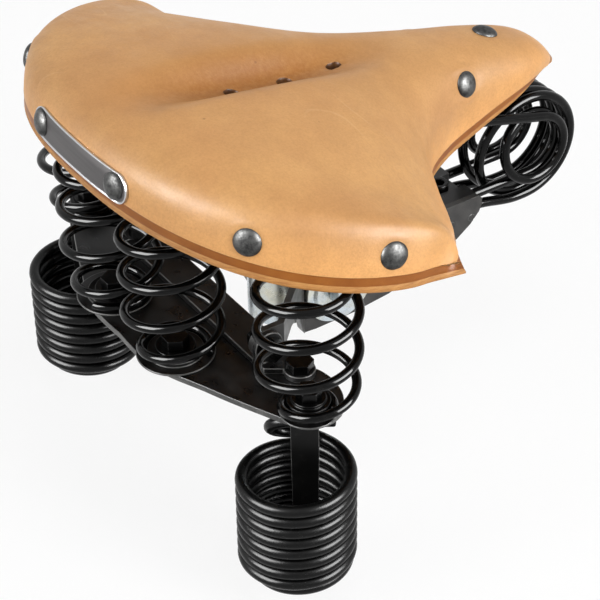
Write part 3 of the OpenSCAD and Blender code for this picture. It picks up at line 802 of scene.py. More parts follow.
@dataclass(frozen=True)
class BadgeEnamel(Finish):
    """Bare badge plate: dark satin field inside a bright rolled border."""

    plate: str = "4A4747"
    brush: str = "3A3838"
    border: str = "BDBEC0"

    def dress(self, tree: Tree) -> None:
        """Shares the field and the border by the number that the plate carries.

        Args:
            tree: nodes of the new material.
        """
        border = tree.field("border")
        brushed = tree.noise(300, 4, 0.6, tree.mapped((0.05, 1.0, 1.0)))
        inner = tree.mix(tree.spread(brushed, 0.0, 1.0), self.plate, self.brush)
        tree.shade(Base_Color=tree.mix(border, inner, self.border))
        tree.shade(Metallic=tree.span(border, 0.0, 1.0, 0.55, 1.0))
        tree.shade(Roughness=tree.span(border, 0.0, 1.0, 0.46, 0.22))
        tree.shade(Normal=tree.bump(brushed, 0.1, 0.08))


@dataclass(frozen=True)
class GlossBlack(Finish):
    """Black enamel on wire and fasteners, with a slight orange-peel skin and rubbed spots."""

    black: str = "040404"
    rubbed: str = "141413"
    rough: float = 0.1

    def dress(self, tree: Tree) -> None:
        """Nearly black and glossy, a little greyer where it is rubbed.

        Args:
            tree: nodes of the new material.
        """
        worn = tree.span(tree.noise(210, 5, 0.66), 0.56, 0.74)
        tree.shade(Base_Color=tree.mix(worn, self.black, self.rubbed), Specular_IOR_Level=0.16)
        tree.shade(Roughness=tree.spread(tree.noise(90, 3), self.rough, self.rough + 0.06))
        tree.shade(Normal=tree.bump(tree.noise(520, 2), 0.07, 0.25))


@dataclass(frozen=True)
class SatinBlack(Finish):
    """Powder coat on plate, black or grey, a little dusty and with fine pebbling."""

    black: str = "0B0A0A"
    dust: str = "1F1D1C"
    rough: float = 0.3
    dust_share: float = 0.6

    def dress(self, tree: Tree) -> None:
        """Pebbled bump under a dusty colour.

        Args:
            tree: nodes of the new material.
        """
        cloud = tree.span(tree.noise(75, 5, 0.62), 0.46, 0.72)
        colour = tree.mix(tree.times(cloud, self.dust_share), self.black, self.dust)
        tree.shade(Base_Color=colour, Specular_IOR_Level=0.3)
        tree.shade(Roughness=tree.spread(tree.noise(150, 4), self.rough - 0.06, self.rough + 0.12))
        tree.shade(Normal=tree.bump(tree.noise(1100, 2), 0.12, 0.12))


@dataclass(frozen=True)
class Zinc(Finish):
    """Bright zinc plating with a cool tint and a faint straw bloom."""

    silver: str = "C3CCD2"
    straw: str = "C9C4AE"
    dull: str = "8E979C"

    def dress(self, tree: Tree) -> None:
        """Metal tinted by two clouds, with a fine mottle in its gloss.

        Args:
            tree: nodes of the new material.
        """
        bloom = tree.span(tree.noise(55, 4, 0.6), 0.42, 0.7)
        dull = tree.span(tree.noise(420, 4, 0.6), 0.5, 0.75, 0.0, 0.45)
        colour = tree.mix(dull, tree.mix(bloom, self.silver, self.straw), self.dull)
        tree.shade(Base_Color=colour, Metallic=1.0)
        tree.shade(Roughness=tree.spread(tree.noise(240, 4), 0.2, 0.36))
        tree.shade(Normal=tree.bump(tree.noise(800, 2), 0.06, 0.1))


@dataclass(frozen=True)
class StudioWhite(Finish):
    """Pale floor that shows white to the camera and keeps the shadow."""

    pale: float = 0.86
    white_share: float = 0.86

    def dress(self, tree: Tree) -> None:
        """Mixes the lit floor with plain white for rays from the camera or a reflection.

        Args:
            tree: nodes of the new material.
        """
        tree.shade(Base_Color=(self.pale, self.pale, self.pale, 1.0))
        tree.shade(Roughness=0.9, Specular_IOR_Level=0.1)
        share = tree.times(seen_rays(tree.material.node_tree), self.white_share)
        white = tree.nodes.new("ShaderNodeEmission").outputs["Emission"]
        lit = tree.shader.outputs["BSDF"]
        blend = tree.make("ShaderNodeMixShader", {0: share, 1: lit, 2: white})
        tree.put(tree.nodes["Material Output"], "Surface", blend["Shader"])


@dataclass
class Hide:
    """Moulded leather top: a sheet between an outer and an inner surface, with a rolled cut edge.

    A point of the surface is found from u, zero at the rear rim and one at the nose rim, and v,
    minus one and one at the two side rims. The side rim and the centre line are smooth curves, and
    a section between them is a flattened quarter arch. A groove sinks along the middle.
    """

    side: np.ndarray = field(default_factory=lambda: np.array(SIDE_RIM, float))
    mid: np.ndarray = field(default_factory=lambda: np.array(CENTRE_LINE, float))
    thickness: float = 5.0
    # Powers of u along the side rim and of the section's sine and cosine.
    rim_pace: float = 1.55
    arch: float = 0.83
    # Power of the section's height: at the wings, how much it gains further on and over which u,
    # and at the rear rim, where it fades.
    shoulder: float = 0.2
    shoulder_gain: float = 0.26
    shoulder_from: float = 0.06
    shoulder_over: float = 0.26
    rear_shoulder: float = 1.3
    rear_fade: float = 0.03
    # The groove along the middle, then the wider stretch that its painted shade takes.
    groove_depth: float = 12.0
    groove_width: float = 12.5
    groove_power: float = 2.5
    groove_hump: Triple = (-87.0, 150.0, 1.5)
    groove_shade_width: float = 19.0
    groove_shade_hump: Triple = (-92.0, 165.0, 1.1)
    groove_shade_gain: float = 1.15
    # Distance from the rim: where its warmer, lighter colour starts and fades (partly the leather's
    # own tone, partly painted light on the roll), and the shoulder crease.
    rim_from: float = 4.0
    rim_over: float = 30.0
    crease_at: float = 31.0
    crease_width: float = 3.2
    # Flat seat under a rivet head.
    seat_radius: float = 6.4
    seat_fade: float = 4.2
    seat_height: float = 6.0
    seat_dent: float = 0.25
    # Wing tips: push at the tip, pull on the edge behind it, and the way of both.
    tip_push: float = 2.0
    tip_size: float = 7.5
    tip_pull: float = 2.3
    pull_at: float = 13.0
    pull_size: float = 8.0
    tip_way: tuple[float, float] = (0.55, 0.83)
    # Vent holes: their places, how much wider they are at both ends, half of the block of faces
    # that a hole takes the place of, and the wall by depth and share of the upper radius.
    vents: Triple = (-22.0, 5.0, 31.0)
    vent_d: float = 6.5
    lip: float = 0.45
    foot: float = 0.4
    vent_half: int = 2
    vent_wall: Pairs = ((0.2, 0.96), (0.6, 0.9), (3.6, 0.88), (4.6, 0.92))
    # The mesh: points, width of the border faces, the rows' pace and the gap beside the end rows.
    rows: int = 150
    cols: int = 197
    edge_step: float = 9.4
    row_pace: float = 1.12
    row_gap: float = 0.043
    # Samples that measure the surface: half a row and its pace, then each side, rear and nose rim,
    # and the number of batches in which the points are measured against the rim.
    half_samples: int = 700
    half_pace: float = 2.6
    side_samples: int = 400
    rear_samples: int = 600
    nose_samples: int = 60
    batches: int = 60

    def rails(self, depth: float) -> tuple[np.ndarray, np.ndarray]:
        """Side rim and centre line moved inwards, each point square to its own curve.

        Args:
            depth: distance under the outer surface.

        Returns:
            Control points of the side rim and of the centre line.
        """
        near = np.arange(len(self.side))
        ahead, behind = np.minimum(near + 1, near[-1]), np.maximum(near - 1, 0)
        run = unit(self.side[ahead, :2] - self.side[behind, :2])
        side = self.side.copy()
        side[:, :2] -= depth * np.stack([run[:, 1], -run[:, 0]], axis=1)
        slide = (side[0, 0] - self.side[0, 0] + depth) / -run[0, 0]
        side[0, :2] += slide * run[0]
        near = np.arange(len(self.mid))
        run = unit(self.mid[np.minimum(near + 1, near[-1])] - self.mid[np.maximum(near - 1, 0)])
        mid = self.mid - depth * np.stack([-run[:, 1], run[:, 0]], axis=1)
        mid[0] = self.mid[0] + [depth, 0.0]
        mid[-1] = self.mid[-1] - [depth, 0.0]
        return side, mid

    def surface(self, u: Places, v: Places, depth: float = 0.0) -> np.ndarray:
        """Points of the surface at a depth.

        With a the angle of v times 90 degrees, x is the rim's x times sin(a) to the arch power,
        y goes from the rim's to the centre line's with cos(a) to the same power, and z does so
        with a power that squares the shoulder.

        Args:
            u: places from rear to nose.
            v: places from side to side.
            depth: distance under the outer surface.

        Returns:
            Points, with the coordinates on the last axis.
        """
        u, v = np.broadcast_arrays(np.asarray(u, float), np.asarray(v, float))
        side, mid = self.rails(depth)
        rim = spline(side, u**self.rim_pace)
        top = spline(mid, u)
        further = ease((u - self.shoulder_from) / self.shoulder_over)
        shoulder = self.shoulder + self.shoulder_gain * further
        shoulder = shoulder + (self.rear_shoulder - shoulder) * np.exp(-u / self.rear_fade)
        angle = np.abs(v) * np.pi / 2
        rise = np.maximum(np.cos(angle), 1e-6)
        x = rim[..., 0] * np.sin(angle) ** self.arch * np.sign(v)
        y = rim[..., 1] + (top[..., 0] - rim[..., 1]) * rise**self.arch
        z = rim[..., 2] + (top[..., 1] - rim[..., 2]) * rise**shoulder
        trough = np.exp(-(np.abs(x / self.groove_width) ** self.groove_power))
        z = z - self.groove_depth * trough * hump(y, *self.groove_hump)
        return np.stack([x, y, z], axis=-1)

    def normal(self, u: Places, v: Places, step: float = 0.012) -> np.ndarray:
        """Outward normals, from the surface's two slopes.

        Args:
            u: places from rear to nose.
            v: places from side to side.
            step: how far the slopes reach to each side.

        Returns:
            Directions of length one.
        """
        du = self.surface(np.minimum(u + step, 1), v) - self.surface(np.maximum(u - step, 0), v)
        dv = self.surface(u, np.minimum(v + step, 1)) - self.surface(u, np.maximum(v - step, -1))
        return unit(np.cross(dv, du))

    def lattice(self) -> tuple[np.ndarray, np.ndarray]:
        """Places of the mesh points: rows of u, and in each row v spaced evenly on the surface.

        Returns:
            u and v of every point, as two arrays of rows by columns.
        """
        u = (np.arange(self.rows) / (self.rows - 1)) ** self.row_pace
        u = np.concatenate([[0.0], u[(u > self.row_gap) & (u < 1 - self.row_gap)], [1.0]])
        half = 1 - (1 - np.linspace(0, 1, self.half_samples)) ** self.half_pace
        fine = np.concatenate([-half[:0:-1], half])
        run = np.linalg.norm(np.diff(self.surface(u[:, None], fine[None, :]), axis=1), axis=-1)
        run = np.concatenate([np.zeros((len(u), 1)), np.cumsum(run, axis=1)], axis=1)
        inner = np.linspace(0, 1, self.cols - 2)
        at = self.edge_step + (run[:, -1:] - 2 * self.edge_step) * inner
        at = np.concatenate([run[:, :1], at, run[:, -1:]], axis=1)
        v = np.stack([np.interp(at[k], run[k], fine) for k in range(len(u))])
        return np.repeat(u[:, None], self.cols, axis=1), v

    def flatten(self, points: np.ndarray, seats: Seats) -> np.ndarray:
        """Pulls the outer surface flat under each rivet head and dents it a little.

        Args:
            points: points of the outer surface.
            seats: place and normal of each rivet.

        Returns:
            The moved points.
        """
        for place, normal in seats:
            away = points - place
            height = away @ normal
            flat = np.linalg.norm(away - height[..., None] * normal, axis=-1)
            share = 1 - ease((flat - self.seat_radius) / self.seat_fade)
            share = share * (np.abs(height) < self.seat_height)
            points = points + (share * (-self.seat_dent - height))[..., None] * normal
        return points

    def sharpen(self, points: np.ndarray) -> np.ndarray:
        """Draws each wing tip out to a point: the tip goes forward, the edge behind it back.

        The way is the same for all points of a side; its length is one bell curve of the distance
        from the tip, less another that stands further out.

        Args:
            points: points of either surface.

        Returns:
            The moved points.
        """
        x, y, z = np.moveaxis(points, -1, 0)
        tip = self.side[0]
        away = np.sqrt((np.abs(x) - tip[0]) ** 2 + (y - tip[1]) ** 2 + (z - tip[2]) ** 2)
        push = self.tip_push * bell(away, 0.0, self.tip_size)
        push = push - self.tip_pull * bell(away, self.pull_at, self.pull_size)
        out, forward = self.tip_way
        way = np.stack([out * np.sign(x), np.full_like(x, forward), np.zeros_like(x)], axis=-1)
        return points + push[..., None] * way

    def vent_ring(
        self, grid: np.ndarray, vent: float
    ) -> tuple[np.ndarray, np.ndarray, np.ndarray]:
        """Square block of faces that a vent hole takes the place of.

        Args:
            grid: points of the outer surface, rows by columns.
            vent: place of the hole along the saddle.

        Returns:
            Rows and columns of the block's border points in order, and its mask over the faces.
        """
        half = self.vent_half
        middle = grid.shape[1] // 2
        row = int(np.argmin(np.abs(grid[:, middle, 1] - vent)))
        step = np.arange(-half, half)
        low, high = np.full(2 * half, -half), np.full(2 * half, half)
        rows = row + np.concatenate([low, step, high, -step])
        cols = middle + np.concatenate([step, high, -step, low])
        mask = np.zeros((grid.shape[0] - 1, grid.shape[1] - 1), bool)
        mask[row - half : row + half, middle - half : middle + half] = True
        return rows, cols, mask

    def on_circle(
        self, grid: np.ndarray, rows: np.ndarray, cols: np.ndarray, vent: float, radius: float
    ) -> np.ndarray:
        """Moves border points of a vent block onto a circle, along the surface's slopes.

        Args:
            grid: points of a surface, rows by columns.
            rows: rows of the border points.
            cols: columns of the border points.
            vent: place of the hole along the saddle.
            radius: radius of the circle.

        Returns:
            The moved border points.
        """
        point = grid[rows, cols]
        along = (grid[rows + 1, cols] - grid[rows - 1, cols]) / 2
        across = (grid[rows, cols + 1] - grid[rows, cols - 1]) / 2
        centre = np.array([0.0, vent])
        want = centre + radius * unit(point[:, :2] - centre)
        slopes = np.stack([along[:, :2], across[:, :2]], axis=-1)
        share = np.linalg.solve(slopes, (want - point[:, :2])[..., None])[..., 0]
        return point + share[:, :1] * along + share[:, 1:] * across

    def open_vents(
        self, outer: np.ndarray, inner: np.ndarray
    ) -> tuple[np.ndarray, list[tuple[np.ndarray, list[np.ndarray]]]]:
        """Rounds the border of each vent hole on both surfaces and works out its wall.

        Args:
            outer: points of the outer surface, moved in place.
            inner: points of the inner surface, moved in place.

        Returns:
            Mask of the faces that stay, and each hole's border numbers and wall rings.
        """
        keep = np.ones((outer.shape[0] - 1, outer.shape[1] - 1), bool)
        walls = []
        for vent in self.vents:
            rows, cols, mask = self.vent_ring(outer, vent)
            keep &= ~mask
            lip = self.on_circle(outer, rows, cols, vent, self.vent_d / 2 + self.lip)
            foot = self.on_circle(inner, rows, cols, vent, self.vent_d / 2 + self.foot)
            outer[rows, cols], inner[rows, cols] = lip, foot
            rings = [
                np.column_stack([lip[:, 0] * k, vent + (lip[:, 1] - vent) * k, lip[:, 2] - deep])
                for deep, k in self.vent_wall
            ]
            walls.append((rows * self.cols + cols, rings))
        return keep, walls

    def edge_rings(self, outer: np.ndarray, inner: np.ndarray) -> list[np.ndarray]:
        """Carries the edge profile round the rim: back along the surface and down into the sheet.

        Args:
            outer: points of the outer surface.
            inner: points of the inner surface.

        Returns:
            One ring of points for each row of the profile.
        """
        edge = outline(outer)
        inside = outer.copy()
        inside[0], inside[-1] = outer[1], outer[-2]
        inside[:, 0], inside[:, -1] = outer[:, 1], outer[:, -2]
        for row, next_row in ((0, 1), (-1, -2)):
            for col, next_col in ((0, 1), (-1, -2)):
                beside = (outer[row, next_col] + outer[next_row, col]) / 2
                inside[row, col] = outer[row, col] + outer[next_row, next_col] - beside
        down = unit(edge - outline(inside))
        through = (outline(inner) - edge) / self.thickness
        return [edge - back * down + deep * through for back, deep in EDGE_PROFILE]

    def build(self, seats: Seats) -> bpy.types.Object:
        """Builds the hide with its edge profile and vent holes.

        Args:
            seats: place and normal of each rivet that sits straight on the hide.

        Returns:
            The finished piece.
        """
        u, v = self.lattice()
        outer = self.sharpen(self.flatten(self.surface(u, v), seats))
        inner = self.sharpen(self.surface(u, v, self.thickness))
        keep, walls = self.open_vents(outer, inner)
        rings = self.edge_rings(outer, inner)
        loop = outline(np.arange(u.size).reshape(u.shape))
        flat_o, flat_i = outer.reshape(-1, 3), inner.reshape(-1, 3)
        flat_o[loop], flat_i[loop] = rings[0], rings[-1]
        faces = quads(*u.shape)[keep.reshape(-1)]
        shell = Shell()
        first_o = shell.add_points(flat_o)
        shell.add_faces(faces + first_o, HideSlot.GRAIN)
        first_i = shell.add_points(flat_i)
        shell.add_faces(faces[:, ::-1] + first_i, HideSlot.FLESH)
        bands = [HideSlot.GRAIN] + [HideSlot.BURNISHED] * BURNISHED_BANDS
        bands += [HideSlot.CUT] * (len(EDGE_PROFILE) - 1 - len(bands))
        shell.bridge(loop + first_o, rings[1:-1], loop + first_i, bands)
        for numbers, wall in walls:
            slots = [HideSlot.VENT_BURNISH_AND_SHADE] * (len(wall) + 1)
            shell.bridge(numbers + first_o, wall, numbers + first_i, slots)
        # Vent walls nearly black-brown: burnished leather with painted shade inside the holes.
        vent_burnish_and_shade = BurnishedEdge(dark="40240E", warm="6E451E")
        finishes = [GrainLeather(), BurnishedEdge(), RawEdge(), FleshSide(), vent_burnish_and_shade]
        return shell.piece("hide", finishes, self.fields(np.vstack(shell.points)))

    def fields(self, points: np.ndarray) -> dict[str, np.ndarray]:
        """Numbers that the leather's colour follows: closeness to the rim, where light is partly
        painted, to the groove, where shade is painted, and to the crease.

        Args:
            points: every point of the shell.

        Returns:
            The three fields by name.
        """
        along = np.linspace(0, 1, self.side_samples)
        sides = [self.surface(along, end) for end in (-1.0, 1.0)]
        rear = self.surface(0.0, np.linspace(-1, 1, self.rear_samples))
        nose = self.surface(1.0, np.linspace(-1, 1, self.nose_samples))
        border = np.concatenate([*sides, rear, nose])
        chunks = np.array_split(points, self.batches)
        near = [np.sqrt(((some[:, None] - border[None]) ** 2).sum(-1)).min(1) for some in chunks]
        gap = np.concatenate(near)
        x, y = points[:, 0], points[:, 1]
        # Painted shade of the groove: a bell across it and a hump along it.
        groove = bell(x, 0.0, self.groove_shade_width) * hump(y, *self.groove_shade_hump)
        return {
            "rim": 1 - ease((gap - self.rim_from) / self.rim_over),
            "groove": np.clip(groove * self.groove_shade_gain, 0, 1),
            "crease": bell(gap, self.crease_at, self.crease_width),
        }


@dataclass
class Rivets:
    """Domed rivets that hold the hide and the badge plate, placed by the hide's u and v."""

    hide: Hide
    radius: float = 6.0
    dome: float = 2.6
    dome_powers: tuple[float, float] = (2.2, 0.62)
    # Rolled edge of the head: step in from the radius, and height.
    rolled: Pairs = ((0.0, 0.12), (0.05, -0.15), (0.4, -0.3))
    shank: float = 2.3
    deep: float = 8.0
    corner_deep: float = 6.0
    sink: float = 0.05
    badge_lift: float = 1.4
    groups: dict[str, Pairs] = field(
        default_factory=lambda: {
            "badge_rivets": ((0.062, 0.119), (0.062, -0.119)),
            "rear_rivets": ((0.06, 0.487), (0.06, -0.487)),
            "corner_rivets": ((0.059, 0.847), (0.059, -0.847)),
            "nose_rivets": ((0.714, 0.647), (0.714, -0.647), (0.794, 0.0)),
        }
    )

    def seats(self) -> Seats:
        """Place and normal of every rivet that sits straight on the hide."""
        groups = [group for name, group in self.groups.items() if name != "badge_rivets"]
        return [(self.hide.surface(*uv), self.hide.normal(*uv)) for group in groups for uv in group]

    def profile(self, deep: float) -> np.ndarray:
        """Head and shank from pole to pole: a dome, a rolled edge and a stem.

        With the two dome powers a and b, the dome falls as (1 − (r/R)^a)^b.

        Args:
            deep: how far the shank reaches under the head.

        Returns:
            Rows of radius and height.
        """
        r = self.radius * np.sin(np.linspace(0.0, np.pi / 2, 18))
        a, b = self.dome_powers
        z = self.dome * np.maximum(1 - (r / self.radius) ** a, 0) ** b
        head = np.stack([r, z], axis=1)[:-1]
        edge = np.array([(self.radius - back, height) for back, height in self.rolled])
        stem = np.array([[self.shank, edge[-1, 1]], [self.shank, -deep], [0.0, -deep]])
        return np.vstack([head, edge, stem])

    def build(self) -> list[tuple[str, bpy.types.Object]]:
        """Builds one piece for each group of rivets.

        Returns:
            CAD node name and piece, for each group.
        """
        made = []
        for name, spots in self.groups.items():
            shell = Shell()
            lift = self.badge_lift if name == "badge_rivets" else -self.sink
            profile = self.profile(self.corner_deep if name == "corner_rivets" else self.deep)
            for uv in spots:
                normal = self.hide.normal(*uv)
                turned(shell, profile, self.hide.surface(*uv) + lift * normal, normal)
            made.append((name, shell.piece(f"{name}_domed", [Gunmetal()])))
        return made


@dataclass
class Badge:
    """Bare plate on the rear of the hide, with round ends and a rolled bright border."""

    hide: Hide
    u: float = 0.062
    half_length: float = 38.0
    half_width: float = 6.6
    thickness: float = 1.2
    border: float = 0.9
    bright_share: float = 0.9
    border_fade: float = 0.25
    raised: float = 0.45
    roll_power: float = 0.6
    # Distance of the front and the back over the hide, and the front's rounded edge: the share of
    # the thickness at the very edge and the distance that the whole thickness would take.
    front_gap: float = 0.1
    back_gap: float = 0.02
    edge_share: float = 0.35
    edge_rise: float = 0.35
    # Where the hide is measured for the plate: half the span of v, the v of the slope, the step.
    reach: float = 0.3
    slope_v: float = 0.06
    step: float = 0.004
    # The mesh: points in a round end, along the straight part and across, the gaps in angle at
    # both ends of a round end, and the least square of the half width.
    end_points: int = 20
    flat_points: int = 61
    cross_points: int = 41
    end_gaps: tuple[float, float] = (0.02, 0.03)
    least_square: float = 0.02

    def lay(self, along: np.ndarray, across: np.ndarray, lift: np.ndarray) -> np.ndarray:
        """Lays flat places of the plate on the hide.

        Distance along is measured on the hide's line of constant u, distance across on its lines of
        constant v, and the lift follows the normal.

        Args:
            along: millimetres from the middle, to the rider's right.
            across: millimetres towards the crown.
            lift: millimetres above the hide.

        Returns:
            Points, with the coordinates on the last axis.
        """
        v = np.linspace(-self.reach, self.reach, 400)
        run = lengths(self.hide.surface(self.u, v))
        at_v = np.interp(along, run - run[len(run) // 2], v)
        ends = self.hide.surface(self.u + self.step * np.array([-1, 1]), self.slope_v)
        slope = np.linalg.norm(ends[1] - ends[0]) / (2 * self.step)
        at_u = self.u + across / slope
        normal = self.hide.normal(at_u, at_v, self.step)
        return self.hide.surface(at_u, at_v) + lift[..., None] * normal

    def build(self) -> bpy.types.Object:
        """Builds the plate: a stadium whose height rolls up to the border, closed by its back.

        Returns:
            The finished piece.
        """
        flat = self.half_length - self.half_width
        low, high = self.end_gaps
        angle = np.linspace(low, np.pi / 2 - high, self.end_points)
        ends = flat + self.half_width * np.sin(angle)
        x = np.concatenate([-ends[::-1], np.linspace(-flat, flat, self.flat_points), ends])
        share = np.sin(np.linspace(-np.pi / 2, np.pi / 2, self.cross_points))
        over = np.maximum(np.abs(x) - flat, 0)[:, None]
        half = np.sqrt(np.maximum(self.half_width**2 - over**2, self.least_square))
        across = half * share[None, :]
        along = np.broadcast_to(x[:, None], across.shape)
        inset = self.half_width - np.hypot(over, across)
        roll = hump(inset, 0.0, self.border, self.roll_power)
        edge = np.minimum(1, self.edge_share + inset / self.edge_rise)
        lift = self.front_gap + self.thickness * edge + self.raised * roll
        shell = Shell()
        first = shell.add_grid(self.lay(along, across, lift))
        last = shell.add_points(self.lay(along, across, np.full_like(lift, self.back_gap)))
        shell.add_faces(quads(*along.shape)[:, ::-1] + last)
        loop = outline(np.arange(along.size).reshape(along.shape))
        shell.bridge(loop + first, [], loop + last, [0])
        fade = (inset - self.border * self.bright_share) / self.border_fade
        bright = (1 - ease(fade)).reshape(-1)
        fields = {"border": np.concatenate([bright, bright])}
        return shell.piece("badge_plate_bordered", [BadgeEnamel()], fields)


@dataclass
class CompressionSpring:
    """One wire spring: a small flat foot turn, wide turns and a flat eye on top."""

    name: str
    centre: tuple[float, float]
    start: float
    keep: float
    wire: float = 4.2
    mid_r: float = 21.4
    foot_r: float = 15.5
    eye_r: float = 8.5
    low: float = 12.65
    top: float = 89.8
    # All in turns: the whole spring, where it widens from the foot and narrows to the eye.
    turns: float = 5.12
    widen: float = 0.6
    wide: float = 1.2
    narrow: float = 3.78
    narrow_over: float = 0.68
    # Share of the height at each number of turns.
    rise: Pairs = (
        (0, 0), (0.5, 0.004), (0.8, 0.074), (1.8, 0.335), (2.8, 0.592), (3.8, 0.833),
        (4.05, 0.857), (4.3, 1), (5.12, 1),
    )  # fmt: skip
    # Distance between the points of the line and how many on each side round it.
    spacing: float = 1.6
    rounding: int = 4

    def path(self) -> np.ndarray:
        """Centre line: a circle of changing radius that climbs by the rise table, then rounded.

        Returns:
            Points of the line.
        """
        t = np.linspace(0, self.turns, 1200)
        wide = ease((t - self.widen) / (self.wide - self.widen))
        radius = self.foot_r + (self.mid_r - self.foot_r) * wide
        radius = radius + (self.eye_r - self.mid_r) * ease((t - self.narrow) / self.narrow_over)
        angle = np.radians(self.start + 360 * t)
        table = np.array(self.rise)
        z = self.low + (self.top - self.low) * np.interp(t, table[:, 0], table[:, 1])
        x, y = self.centre
        line = np.stack([x + radius * np.cos(angle), y + radius * np.sin(angle), z], axis=1)
        return rounded(line, self.spacing, self.rounding)

    def build(self) -> None:
        """Sweeps the wire and hangs it on the carrier, with a mesh of its own."""
        piece = wound(self.name, self.path(), self.wire, UP, GlossBlack())
        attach(piece, Body.CARRIER.value)
        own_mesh(piece)


@dataclass
class TensionCoil:
    """One heavy coil: a leg through the stem bar, close turns, a bow and a hook over the arm.

    Its places are distances d across the stem bar and s along it, from the coil's axis.
    """

    side: Side
    wire: float = 5.5
    rough: float = 0.24
    radius: float = 23.85
    turns: int = 9
    pitch: float = 6.0
    low: float = -73.4
    centre: tuple[float, float] = (93.4, -54.2)
    across: tuple[float, float] = (0.833, -0.553)
    along: tuple[float, float] = (0.553, 0.833)
    # The leg: its free end, its distance from the axis, the arc into the turns, and how far inside
    # the others the first turn starts.
    leg_d: float = 7.0
    stem_s: float = 4.0
    fillet: float = 6.0
    tuck: float = 6.0
    # The bow leaves the last turn at an angle; its two ends pull it along by a length and a rise.
    last_angle: float = 150.0
    bow_pull: float = 6.0
    bow_rise: float = 0.6
    # The hook: its bar's place and ends, and half of its bend sideways and down.
    hook_d: float = -9.0
    hook_z: float = -0.2
    hook_s: float = -2.0
    hook_end: float = 16.5
    hook_drop: tuple[float, float] = (5.5, 7.5)
    # Distance between the points of the line and how many on each side round it.
    spacing: float = 1.7
    rounding: int = 3

    def place(self, d: Places, s: Places, z: Places) -> np.ndarray:
        """Points from distances across the stem bar, along it and up.

        Args:
            d: distances across.
            s: distances along.
            z: heights.

        Returns:
            Points, with the coordinates on the last axis.
        """
        d, s, z = np.broadcast_arrays(*(np.asarray(part, float) for part in (d, s, z)))
        x = self.centre[0] + d * self.across[0] + s * self.along[0]
        y = self.centre[1] + d * self.across[1] + s * self.along[1]
        return np.stack([self.side.value * x, y, z], axis=-1)

    def turns_line(self, first: float) -> np.ndarray:
        """Close turns, which widen over the first one and climb by the pitch.

        Args:
            first: angle in degrees at which they start.

        Returns:
            Rows of d, s and height.
        """
        turn = np.linspace(first, self.turns * 360 + self.last_angle, 1100)
        out = self.radius - self.tuck * (1 - ease((turn - first) / 360))
        climb = self.low + self.pitch * (turn - first) / 360
        angle = np.radians(turn)
        return np.stack([out * np.cos(angle), out * np.sin(angle), climb], axis=1)

    def bend_line(self) -> np.ndarray:
        """Half turn at the hook's root: an ellipse that leans sideways and down.

        Returns:
            Rows of d, s and height.
        """
        bend = np.radians(np.linspace(-90, 90, 40))
        back = 1 - np.sin(bend)
        side, fall = self.hook_drop
        return np.stack(
            [
                self.hook_d - side * back,
                self.hook_s - math.hypot(side, fall) * np.cos(bend),
                self.hook_z - fall * back,
            ],
            axis=1,
        )

    def bow_line(self, start: np.ndarray, end: np.ndarray) -> np.ndarray:
        """Cubic Bezier curve from the last turn to the hook's bend, without its end points.

        Args:
            start: end of the turns.
            end: start of the bend.

        Returns:
            Rows of d, s and height.
        """
        leave, pull = math.radians(self.last_angle), self.bow_pull
        lead = start + np.array([-pull * math.sin(leave), pull * math.cos(leave), self.bow_rise])
        control = np.stack([start, lead, end + np.array([0, pull, 0]), end])
        t = np.linspace(0, 1, 40)[1:-1, None]
        return np.hstack([(1 - t) ** 3, 3 * (1 - t) ** 2 * t, 3 * (1 - t) * t**2, t**3]) @ control

    def path(self) -> np.ndarray:
        """Centre line: leg, fillet arc, turns, bow, half turn and hook, then rounded.

        Returns:
            Points of the line.
        """
        s0 = self.stem_s - self.fillet
        d0 = -math.sqrt((self.radius - self.tuck - self.fillet) ** 2 - s0**2)
        first = math.degrees(math.atan2(s0, d0)) + 360
        arc = np.radians(np.linspace(90, first, 24))
        turns, bend = self.turns_line(first), self.bend_line()
        bow = self.bow_line(turns[-1], bend[0])
        round_d, round_s = d0 + self.fillet * np.cos(arc), s0 + self.fillet * np.sin(arc)
        line = np.concatenate(
            [
                self.place(np.linspace(self.leg_d, d0, 12), self.stem_s, self.low),
                self.place(round_d, round_s, self.low),
                *(self.place(*part.T) for part in (turns, bow, bend)),
                self.place(self.hook_d, np.linspace(self.hook_s, self.hook_end, 16), self.hook_z),
            ]
        )
        return rounded(line, self.spacing, self.rounding)

    def build(self) -> None:
        """Sweeps the wire, which runs from the arm on the frame to the carrier's stem."""
        node = f"tension_coil_{self.side.word}"
        piece = wound(node, self.path(), self.wire, UP, GlossBlack(rough=self.rough))
        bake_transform(piece)


